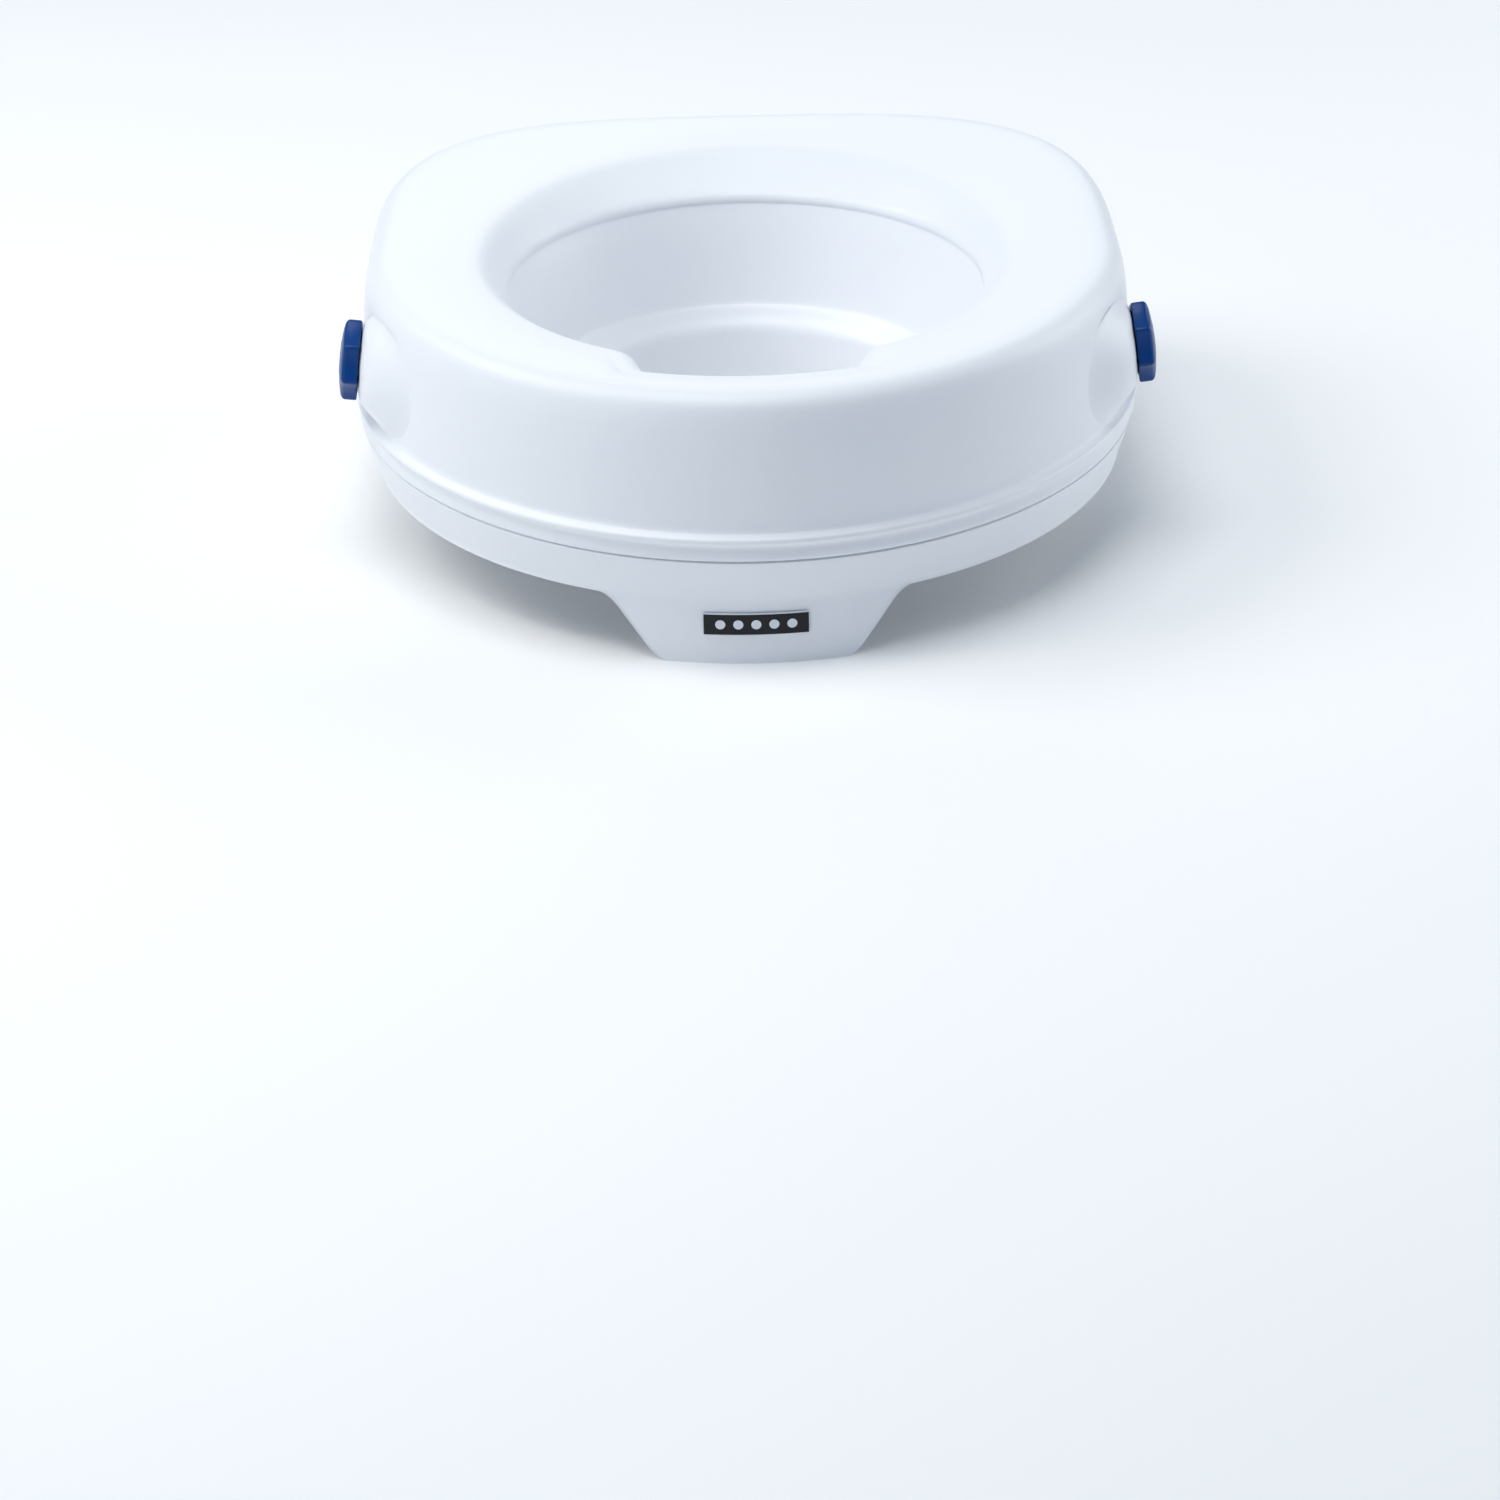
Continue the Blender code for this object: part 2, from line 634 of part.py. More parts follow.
def make_jaw_nut(workshop, name, axis, side):
    """A hexagon nut with its corners on the clamp frame's Y, like its pocket."""
    hexagon = [(x, y) for y, x in circle(nut_corner(), 6)]
    start = nut_seat(side) + FIT_GAP
    mesh = slab(name, [hexagon, circle(THREAD_RADIUS + FIT_GAP, 16)], start, start + 0.0065)
    to_axis = Matrix.Translation((0, -KNOB_Y, -KNOB_Z)) @ clamp_frame(side)
    workshop.piece(name, mesh, "bright_steel", axis, to_axis)


def make_jaw_pad(workshop, name, axis, side):
    """The rubber face that presses on the bowl's inner wall."""
    inner, outer = JAW_LEG_X[1] + FIT_GAP, JAW_LEG_X[1] + 0.0062
    shape = bmesh.new()
    xs = sorted((side * inner, side * outer))
    add_box(
        shape,
        (xs[0], -JAW_HALF_WIDTH + 0.001, JAW_BOTTOM + 0.002 - KNOB_Z),
        (xs[1], JAW_HALF_WIDTH - 0.001, -0.006 - KNOB_Z),
    )
    pad = workshop.piece(name, mesh_of(name, shape), "grey_rubber", axis)
    bevel = pad.modifiers.new("rounded", "BEVEL")
    bevel.width = 0.0018
    bevel.segments = 2


def make_side_clamp(workshop, label, side):
    turning = workshop.pivot(label + "_knob_axis", clamp_frame(side))
    fixed = workshop.pivot(label + "_bush_seat", clamp_frame(side))
    sliding = workshop.pivot(label + "_jaw_axis", Matrix.Translation((0, KNOB_Y, KNOB_Z)))
    make_knob(workshop, label + "_knob", turning, side)
    make_spindle(workshop, label + "_spindle", turning)
    make_clip(workshop, label + "_spindle_clip", turning)
    make_bush(workshop, label + "_wall_bush", fixed)
    make_jaw(workshop, label + "_jaw", sliding, side)
    make_jaw_nut(workshop, label + "_jaw_nut", sliding, side)
    make_jaw_pad(workshop, label + "_jaw_pad", sliding, side)


# ---------------------------------------------------------------- front bracket

def ease(share):
    """A smooth step from 0 to 1."""
    share = min(1.0, max(0.0, share))
    return share * share * (3 - 2 * share)


def bracket_bottom(direction):
    """Height of the bracket's lower edge, which drops to the tab in front."""
    x = abs(outline_radius(direction, BAND_INSETS[1]) * math.sin(direction))
    narrow, wide = TAB_HALF_WIDTHS
    return TAB_BOTTOM + (BAND_BOTTOM - TAB_BOTTOM) * ease((x - narrow) / (wide - narrow))


def bracket_inset(z):
    """How far the bracket's outer face lies inside the outline at a height."""
    share = min(1.0, (BAND_TOP - z) / (BAND_TOP - BAND_BOTTOM))
    return BAND_INSETS[0] + (BAND_INSETS[1] - BAND_INSETS[0]) * share


def bracket_row(share, depth):
    """A row of points part of the way down the band, depth behind its face."""
    row = []
    for direction in band_directions():
        z = BAND_TOP + (bracket_bottom(direction) - BAND_TOP) * share
        row.append(plan_point(direction, outline_radius(direction, bracket_inset(z) + depth), z))
    return row


def slot_outline(x, front, back, radius, steps=6):
    """A round-ended slot along Y."""
    ends = ((front, math.pi), (back, 0.0))
    return [
        (x + radius * math.cos(start + math.pi * i / steps),
         y + radius * math.sin(start + math.pi * i / steps))
        for y, start in ends for i in range(steps + 1)
    ]


def make_front_bracket(workshop):
    axis = workshop.pivot("bracket_slide_axis", Matrix.Identity(4))
    shares = (0.0, 0.22, 0.42, 0.70, 1.0)
    rows = [bracket_row(share, BAND_WALL) for share in shares]
    rows += [bracket_row(share, 0.0) for share in reversed(shares)]
    mesh = skin("front_bracket", rows, wrap_rows=True, wrap_columns=False)
    bracket = workshop.piece("front_bracket", mesh, "seat_white", axis)

    front = -(FRONT_DEPTH - bracket_inset(FLANGE_Z[0]) - BAND_WALL / 2)
    corner = front + FLANGE_CORNER_SETBACK
    flange = [
        (-FLANGE_HALF_WIDTH, corner), (0, front), (FLANGE_HALF_WIDTH, corner),
        (FLANGE_HALF_WIDTH, FLANGE_REAR_Y), (-FLANGE_HALF_WIDTH, FLANGE_REAR_Y),
    ]
    back = BRACKET_SCREW[1] + BRACKET_TRAVEL + 0.0005
    slots = [
        slot_outline(side * BRACKET_SCREW[0], BRACKET_SCREW[1] - 0.0005, back, SLOT_RADIUS)
        for side in (1, -1)
    ]
    mesh = slab("bracket_flange", [flange] + slots, *FLANGE_Z)
    workshop.combine(bracket, "bracket_flange", mesh, "UNION")

    make_badge(workshop, axis)
    profile = screw_profile(0.0042, 0.0022, 0.0140)
    for side, name in ((1, "right"), (-1, "left")):
        x, y = side * BRACKET_SCREW[0], BRACKET_SCREW[1]
        (bore, rim), under = WASHER_RADII, FLANGE_Z[0] - FIT_GAP
        below = under - WASHER_THICKNESS
        washer = [(bore, under), (rim, under), (rim, below), (bore, below)]
        matrix = Matrix.Translation((x, y, 0))
        turned(workshop, f"bracket_washer_{name}", washer, "bright_steel", None, matrix, 16, True)
        matrix = Matrix.Translation((x, y, below - FIT_GAP))
        turned(workshop, f"bracket_screw_{name}", profile, "bright_steel", None, matrix, 12)


def make_badge(workshop, axis):
    """A plain plate on the tab, curved to lie against it."""
    reach = math.asin(BADGE_HALF_WIDTH / FRONT_DEPTH)
    directions = [reach * (i / 6 - 1) for i in range(13)]
    low, high = BADGE_Z
    corners = ((high, 0.0), (low, 0.0), (low, BADGE_THICKNESS), (high, BADGE_THICKNESS))
    rows = []
    for z, depth in corners:
        inset = BAND_INSETS[1] - BADGE_LIFT - depth
        rows.append([plan_point(d, outline_radius(d, inset), z) for d in directions])
    mesh = skin("badge_plate", rows, wrap_rows=True, wrap_columns=False)
    workshop.piece("badge_plate", mesh, "badge_dark", axis)


def main():
    clear_scene()
    workshop = Workshop()
    make_shell(workshop)
    make_guard(workshop)
    make_base_plate(workshop)
    make_fixings(workshop)
    make_front_bracket(workshop)
    make_side_clamp(workshop, "right", 1)
    make_side_clamp(workshop, "left", -1)


main()
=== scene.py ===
"""The looks of a raised toilet seat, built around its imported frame.

Metres, +Z up, front towards -Y. The origin is the centre of the plane in which
the four rubber feet stand on the bowl's rim. A direction is an angle in plan
from the front, positive towards the right-hand side (+X). Each sub-assembly is
a class that models its own pieces and dresses them in their finishes.
"""

import logging
import math
from dataclasses import dataclass
from enum import Enum
from typing import Callable, Sequence, Union

import bmesh
import bpy
from mathutils import Matrix, Vector

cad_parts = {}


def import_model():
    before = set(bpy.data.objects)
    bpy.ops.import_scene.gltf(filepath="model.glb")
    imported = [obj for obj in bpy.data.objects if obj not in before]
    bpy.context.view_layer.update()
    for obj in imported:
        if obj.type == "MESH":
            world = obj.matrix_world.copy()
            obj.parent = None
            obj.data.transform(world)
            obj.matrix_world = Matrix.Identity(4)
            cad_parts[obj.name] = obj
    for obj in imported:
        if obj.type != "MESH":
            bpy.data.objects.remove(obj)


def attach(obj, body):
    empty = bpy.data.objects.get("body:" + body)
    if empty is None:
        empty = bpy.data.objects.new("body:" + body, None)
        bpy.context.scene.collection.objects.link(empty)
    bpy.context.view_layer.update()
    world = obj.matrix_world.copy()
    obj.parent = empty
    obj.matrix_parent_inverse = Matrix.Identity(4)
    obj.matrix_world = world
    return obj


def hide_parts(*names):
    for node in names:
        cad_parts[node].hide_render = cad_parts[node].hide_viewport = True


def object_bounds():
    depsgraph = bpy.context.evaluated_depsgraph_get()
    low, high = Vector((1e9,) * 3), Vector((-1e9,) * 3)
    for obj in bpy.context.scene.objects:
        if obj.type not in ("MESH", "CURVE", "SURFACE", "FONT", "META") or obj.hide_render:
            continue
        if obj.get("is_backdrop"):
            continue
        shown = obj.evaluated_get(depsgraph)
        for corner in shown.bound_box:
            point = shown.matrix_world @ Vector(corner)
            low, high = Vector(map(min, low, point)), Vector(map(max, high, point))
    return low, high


LOG = logging.getLogger("raised_toilet_seat")

FIT_GAP = 0.0003
POLE_RADIUS = 0.00001
MERGE_DISTANCE = 0.00003

Station = Callable[[float], Vector]
Colour = tuple[float, float, float]
Value = Union["Signal", float, Sequence[float]]


class Side(Enum):
    """The two sides of the seat, as the sign of X."""

    RIGHT = 1
    LEFT = -1

    @property
    def label(self) -> str:
        """The side's name in lower case, as the node names have it."""
        return self.name.lower()


class Slot(Enum):
    """The material slots that the record names."""

    SEAT_WHITE = "seat_white"
    KNOB_BLUE = "knob_blue"
    BADGE_DARK = "badge_dark"
    BRIGHT_STEEL = "bright_steel"
    GREY_RUBBER = "grey_rubber"
    BUSH_NYLON = "bush_nylon"


# ------------------------------------------------------------------ plan curves

@dataclass(frozen=True)
class BodyPlan:
    """The body's outline: half an ellipse in front, a squarer curve behind."""

    half_width: float = 0.200
    front_depth: float = 0.2115
    rear_depth: float = 0.2085
    front_exponent: float = 1.98
    rear_exponent: float = 3.5

    def radius(self, direction: float, inset: float = 0.0) -> float:
        """Distance from the centre to the outline.

        Args:
            direction: Angle from the front.
            inset: How far the outline is drawn in.

        Returns:
            The distance in metres.
        """
        forward = math.cos(direction)
        depth = self.front_depth if forward > 0 else self.rear_depth
        exponent = self.front_exponent if forward > 0 else self.rear_exponent
        across = abs(math.sin(direction)) / (self.half_width - inset)
        along = abs(forward) / (depth - inset)
        return (across**exponent + along**exponent) ** (-1 / exponent)

    def front_y(self, x: float, inset: float) -> float:
        """The outline's Y in front of the centre, at a place across it.

        Args:
            x: Place across the body.
            inset: How far the outline is drawn in.

        Returns:
            Y, which is negative.
        """
        share = 1 - (abs(x) / (self.half_width - inset)) ** self.front_exponent
        return -(self.front_depth - inset) * share ** (1 / self.front_exponent)

    def ring(self, inset: float, height: float) -> Station:
        """A station that follows the outline at one height."""
        return lambda direction: Vector((self.radius(direction, inset), height))


@dataclass(frozen=True)
class Opening:
    """The plan of the opening at one level, with or without the front notch."""

    half_width: float
    rear: float
    front: float
    notch: float = 0.0
    notch_flank: float = 0.0885
    notch_flare: float = 0.25
    notch_round: float = 0.0015

    def _soft_max(self, first: float, second: float) -> float:
        """The larger of two lengths, with the corner between them rounded."""
        step = abs(first - second) / self.notch_round
        return max(first, second) + self.notch_round * math.log1p(math.exp(-step))

    def radius(self, direction: float, grow: float = 0.0) -> float:
        """Distance from the centre to the opening's edge.

        Args:
            direction: Angle from the front.
            grow: How far the edge is moved outwards all round.

        Returns:
            The distance in metres.
        """
        forward, aside = math.cos(direction), abs(math.sin(direction))
        depth = (self.front if forward > 0 else self.rear) + grow
        ellipse = 1 / math.hypot(aside / (self.half_width + grow), forward / depth)
        if not self.notch or forward <= 0:
            return ellipse
        flank = (self.notch_flank + grow) / (aside + self.notch_flare * forward)
        floor = -self._soft_max(-(self.notch + grow), -flank)
        return self._soft_max(ellipse, floor)

    def ring(self, height: float, grow: float = 0.0) -> Station:
        """A station that follows the opening's edge at one height."""
        return lambda direction: Vector((self.radius(direction, grow), height))


PLAN = BodyPlan()
APERTURE = Opening(0.130, 0.144, 0.143, 0.1605)
THROAT = Opening(0.121, 0.121, 0.150, 0.158)
FUNNEL_MIDDLE = Opening(0.1125, 0.111, 0.134)
LEDGE_TOP = Opening(0.104, 0.101, 0.118)
LEDGE_BOTTOM = Opening(0.0935, 0.092, 0.104)
GUARD_END = Opening(0.090, 0.088, 0.100)

SEAT_TOP = 0.094
LIP_BOTTOM = 0.069
SEAM_Z = 0.0128
PLATE_BOTTOM = 0.0083
PLATE_TOP = 0.0113

CLAMP_Y = -0.055
CLAMP_Z = 0.056
CLAMP_TILT = math.radians(7.0)
CLAMP_WALL_INSET = 0.0047
BOSS_SPAN = (-0.0070, 0.0032)
BUSH_RADIUS = 0.0075

BADGE_HALF_WIDTH = 0.0262
BADGE_HEIGHTS = (-0.0290, -0.0172)

# Where each span of the right-hand half starts and ends, in degrees, and its steps.
DIRECTION_SPANS = ((0, 14, 6), (14, 30, 60), (30, 105, 48), (105, 150, 40), (150, 180, 16))


def plan_point(direction: float, radius: float, height: float = 0.0) -> Vector:
    """The point at a direction, distance and height."""
    return Vector((radius * math.sin(direction), -radius * math.cos(direction), height))


def even_directions(count: int) -> list[float]:
    """Directions evenly all round, the first one to the front."""
    return [math.tau * i / count for i in range(count)]


def body_directions() -> list[float]:
    """Directions all round the seat, closest together at the front notch."""
    half = [a + (b - a) * i / n for a, b, n in DIRECTION_SPANS for i in range(n)] + [180.0]
    return [math.radians(d) for d in half + [-d for d in half[-2:0:-1]]]


def clamp_frame(side: Side) -> Matrix:
    """A clamp's own frame: at the wall's face, its Z out along the axis.

    Args:
        side: The clamp's side.

    Returns:
        The frame as a matrix.
    """
    share = 1 - (-CLAMP_Y / PLAN.front_depth) ** PLAN.front_exponent
    wall_x = PLAN.half_width * share ** (1 / PLAN.front_exponent) - CLAMP_WALL_INSET
    turn = Matrix.Rotation(side.value * (math.pi / 2 - CLAMP_TILT), 4, "Y")
    return Matrix.Translation((side.value * wall_x, CLAMP_Y, CLAMP_Z)) @ turn


def mixed(first: Station, second: Station, share: float, lift: float = 0.0) -> Station:
    """A station part of the way between two others.

    Args:
        first: The station at share 0.
        second: The station at share 1.
        share: How far it lies towards the second.
        lift: A height added to it.

    Returns:
        The station between them.
    """
    rise = Vector((0.0, lift))
    return lambda direction: first(direction).lerp(second(direction), share) + rise


def level(radius: float, height: float) -> Station:
    """A round station; a radius of nothing makes a pole."""
    return lambda direction: Vector((max(radius, POLE_RADIUS), height))


def round_profile(*points: tuple[float, float]) -> list[Station]:
    """Round stations through (radius, height) points."""
    return [level(radius, height) for radius, height in points]


def on_curve(points: Sequence[Vector], share: float) -> Vector:
    """A place on a smooth curve through four points.

    Args:
        points: The points that the curve passes through.
        share: How far the place lies from the second point towards the third.

    Returns:
        The place.
    """
    knots = [0.0]
    for first, second in zip(points, points[1:]):
        knots.append(knots[-1] + max((second - first).length, 1e-9) ** 0.5)
    at = knots[1] + share * (knots[2] - knots[1])

    def blend(first: Vector, second: Vector, start: int, end: int) -> Vector:
        """The mix of two points at this place between two knots."""
        return first.lerp(second, (at - knots[start]) / (knots[end] - knots[start]))

    outer = [blend(points[i], points[i + 1], i, i + 1) for i in range(3)]
    inner = [blend(outer[i], outer[i + 1], i, i + 2) for i in range(2)]
    return blend(*inner, 1, 2)


def flowing(controls: Sequence[Station], steps: int) -> list[Station]:
    """Stations along a smooth curve through some others.

    Args:
        controls: The stations that the curve passes through.
        steps: Stations made for each stretch between two controls.

    Returns:
        The stations in order, the first and last controls among them.
    """

    def between(around: Sequence[Station], share: float) -> Station:
        """The station at a share of the stretch between the middle two."""
        return lambda direction: on_curve([c(direction) for c in around], share)

    before = mixed(controls[0], controls[1], -1.0)
    after = mixed(controls[-2], controls[-1], 2.0)
    padded = [before, *controls, after]
    stretches = [padded[i:i + 4] for i in range(len(controls) - 1)]
    stations = [between(around, i / steps) for around in stretches for i in range(steps)]
    return stations + [controls[-1]]


# ------------------------------------------------------------- modelling by hand

def deselect_all() -> None:
    """Leaves edit mode and selects nothing, so that only a new piece is acted on."""
    if bpy.context.object and bpy.context.object.mode != "OBJECT":
        bpy.ops.object.mode_set(mode="OBJECT")
    bpy.ops.object.select_all(action="DESELECT")


def take_up(piece: bpy.types.Object) -> None:
    """Makes a piece the only selected one and the active one.

    Args:
        piece: The piece that the next operators act on.
    """
    deselect_all()
    piece.select_set(True)
    bpy.context.view_layer.objects.active = piece


def begin_editing(name: str) -> bpy.types.Object:
    """Names the primitive just added, which is shaped in edit mode next.

    Args:
        name: The piece's name.

    Returns:
        The piece, in edit mode with all of it selected.
    """
    piece = bpy.context.object
    piece.name = name
    piece.data.name = name
    bpy.ops.object.mode_set(mode="EDIT")
    bpy.ops.mesh.select_mode(type="VERT")
    bpy.ops.mesh.select_all(action="SELECT")
    return piece


def finish_editing(piece: bpy.types.Object) -> None:
    """Merges doubles, turns the faces outwards and leaves edit mode.

    Args:
        piece: The piece in edit mode.
    """
    bpy.ops.mesh.select_all(action="SELECT")
    bpy.ops.mesh.remove_doubles(threshold=MERGE_DISTANCE)
    bpy.ops.mesh.normals_make_consistent(inside=False)
    bpy.ops.object.mode_set(mode="OBJECT")
    take_up(piece)


def place_ring(piece: bpy.types.Object, station: Station) -> None:
    """Moves the selected ring of points to a station.

    Args:
        piece: The piece in edit mode.
        station: Gives the radius and height for each point's direction.
    """
    shape = bmesh.from_edit_mesh(piece.data)
    for point in shape.verts:
        if point.select:
            direction = math.atan2(point.co.x, -point.co.y)
            radius, height = station(direction)
            point.co = plan_point(direction, radius, height)
    bmesh.update_edit_mesh(piece.data)


def loft(
    name: str, directions: Sequence[float], stations: Sequence[Station], ring: bool = False
) -> bpy.types.Object:
    """Extrudes a circle of points through stations.

    Args:
        name: The piece's name.
        directions: The direction of each point of the circle.
        stations: The levels that the circle is extruded through, in order.
        ring: Joins the last level back to the first, as a hollow section has it.

    Returns:
        The closed piece, selected and active.
    """
    deselect_all()
    bpy.ops.mesh.primitive_circle_add(vertices=len(directions), fill_type="NOTHING")
    piece = begin_editing(name)
    shape = bmesh.from_edit_mesh(piece.data)
    for point, direction in zip(shape.verts, directions):
        point.co = plan_point(direction, 1.0)
    place_ring(piece, stations[0])
    for station in list(stations[1:]) + ([stations[0]] if ring else []):
        bpy.ops.mesh.extrude_region()
        place_ring(piece, station)
    finish_editing(piece)
    return piece


def panel(
    name: str, columns: int, rows: int, place: Callable[[float, float], Vector]
) -> bpy.types.Object:
    """Lays a grid over a curved surface.

    Args:
        name: The piece's name.
        columns: Faces across.
        rows: Faces up.
        place: The point for a share across and a share up, each from 0 to 1.

    Returns:
        The open panel, selected and active.
    """
    deselect_all()
    bpy.ops.mesh.primitive_grid_add(x_subdivisions=columns, y_subdivisions=rows, size=2.0)
    piece = begin_editing(name)
    shape = bmesh.from_edit_mesh(piece.data)
    for point in shape.verts:
        point.co = place((point.co.x + 1) / 2, (point.co.y + 1) / 2)
    bmesh.update_edit_mesh(piece.data)
    finish_editing(piece)
    return piece


def block(name: str, low: Sequence[float], high: Sequence[float]) -> bpy.types.Object:
    """A box between two corners, ready for shaping.

    Args:
        name: The piece's name.
        low: Its lowest corner.
        high: Its highest corner.

    Returns:
        The box, selected and active.
    """
    deselect_all()
    low, high = Vector(low), Vector(high)
    bpy.ops.mesh.primitive_cube_add(size=1.0)
    piece = bpy.context.object
    piece.name = name
    piece.data.name = name
    size = Matrix.Diagonal((*(high - low), 1.0))
    piece.data.transform(Matrix.Translation((low + high) / 2) @ size)
    return piece


def push_face(
    piece: bpy.types.Object, towards: Sequence[float], distance: float, above: float = -1.0
) -> None:
    """Extrudes the furthest face that looks one way.

    Args:
        piece: The piece in edit mode, with faces square to its axes.
        towards: The way the face looks.
        distance: How far it is extruded.
        above: Faces with their middle below this height are left out.
    """
    towards = Vector(towards)
    shape = bmesh.from_edit_mesh(piece.data)
    looking = [
        face for face in shape.faces
        if face.normal.dot(towards) > 0.9 and face.calc_center_median().z > above
    ]
    furthest = max(face.calc_center_median().dot(towards) for face in looking)
    bpy.ops.mesh.select_all(action="DESELECT")
    bpy.ops.mesh.select_mode(type="FACE")
    shape = bmesh.from_edit_mesh(piece.data)
    for face in shape.faces:
        middle = face.calc_center_median()
        face.select_set(
            face.normal.dot(towards) > 0.9 and middle.z > above
            and middle.dot(towards) > furthest - 1e-6
        )
    bmesh.update_edit_mesh(piece.data)
    move = {"value": tuple(towards * distance)}
    bpy.ops.mesh.extrude_region_move(TRANSFORM_OT_translate=move)


def apply_modifier(piece: bpy.types.Object, kind: str, **settings: object) -> None:
    """Adds a modifier, sets it and applies it.

    Args:
        piece: The piece it is for.
        kind: The modifier's type.
        settings: Its properties by name.
    """
    modifier = piece.modifiers.new(kind.lower(), kind)
    for name, value in settings.items():
        setattr(modifier, name, value)
    take_up(piece)
    bpy.ops.object.modifier_apply(modifier=modifier.name)


def round_edges(piece: bpy.types.Object, width: float, segments: int = 2) -> None:
    """Rounds the edges that are sharper than 40 degrees.

    Args:
        piece: The piece.
        width: The rounding's width.
        segments: Its faces across.
    """
    apply_modifier(
        piece, "BEVEL", width=width, segments=segments, limit_method="ANGLE",
        angle_limit=math.radians(40), use_clamp_overlap=True,
    )


def cut_out(piece: bpy.types.Object, cutters: Sequence[bpy.types.Object]) -> None:
    """Cuts shapes that don't overlap each other out of a piece.

    Args:
        piece: The piece that is cut.
        cutters: The shapes, which are used up.
    """
    cutter = cutters[0]
    if len(cutters) > 1:
        take_up(cutter)
        for other in cutters[1:]:
            other.select_set(True)
        bpy.ops.object.join()
    apply_modifier(piece, "BOOLEAN", operation="DIFFERENCE", solver="EXACT", object=cutter)
    bpy.data.objects.remove(cutter, do_unlink=True)


def rod(name: str, radius: float, low: float, high: float, sides: int = 48) -> bpy.types.Object:
    """A plain cylinder about Z, for cutting a bore."""
    profile = round_profile((0, low), (radius, low), (radius, high), (0, high))
    return loft(name, even_directions(sides), profile)


def set_down(piece: bpy.types.Object, matrix: Matrix) -> bpy.types.Object:
    """Moves a piece's mesh to its place and leaves the object at the origin."""
    piece.data.transform(matrix)
    return piece


def repeat(piece: bpy.types.Object, name: str, matrix: Matrix) -> bpy.types.Object:
    """A copy of a piece, with its own mesh, in another place.

    Args:
        piece: The piece that is copied.
        name: The copy's name.
        matrix: How the copy's mesh is moved.

    Returns:
        The copy.
    """
    copy = bpy.data.objects.new(name, piece.data.copy())
    copy.data.name = name
    bpy.context.scene.collection.objects.link(copy)
    return set_down(copy, matrix)


def lowest_point(piece: bpy.types.Object) -> float:
    """The height of a piece's lowest point."""
    return min(point.co.z for point in piece.data.vertices)


def recalculate(piece: bpy.types.Object) -> None:
    """Merges a closed piece's doubles and turns all of its faces outwards.

    Args:
        piece: The closed piece.
    """
    take_up(piece)
    bpy.ops.object.mode_set(mode="EDIT")
    finish_editing(piece)


def fit(
    piece: bpy.types.Object, body: str, slot: Slot, material: bpy.types.Material,
    *nodes: str, smooth: float = 32.0,
) -> bpy.types.Object:
    """Dresses a finished piece and joins it to the frame.

    Args:
        piece: The finished piece, in place.
        body: The moving body that it rides on.
        slot: The material slot for the piece; not used.
        material: Its finish.
        nodes: The nodes that it stands for.
        smooth: Edges sharper than this, in degrees, stay sharp.

    Returns:
        The same piece.
    """
    take_up(piece)
    bpy.ops.object.shade_smooth_by_angle(angle=math.radians(smooth))
    piece.data.materials.clear()
    piece.data.materials.append(material)
    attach(piece, body)
    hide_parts(*nodes)
    LOG.info("%s: %d faces on %s", piece.name, len(piece.data.polygons), body)
    return piece


# --------------------------------------------------------------------- finishes

class Signal:
    """A value that flows between a material's nodes, with arithmetic."""

    def __init__(self, graph: "Graph", socket: bpy.types.NodeSocket) -> None:
        """Wraps one output socket of a graph's node."""
        self.graph = graph
        self.socket = socket

    def __add__(self, other: Value) -> "Signal":
        """The sum."""
        return self.graph.maths("ADD", self, other)

    def __sub__(self, other: Value) -> "Signal":
        """The difference."""
        return self.graph.maths("SUBTRACT", self, other)

    def __rsub__(self, other: Value) -> "Signal":
        """The difference, with this value taken away."""
        return self.graph.maths("SUBTRACT", other, self)

    def __mul__(self, other: Value) -> "Signal":
        """The product."""
        return self.graph.maths("MULTIPLY", self, other)

    __radd__ = __add__
    __rmul__ = __mul__


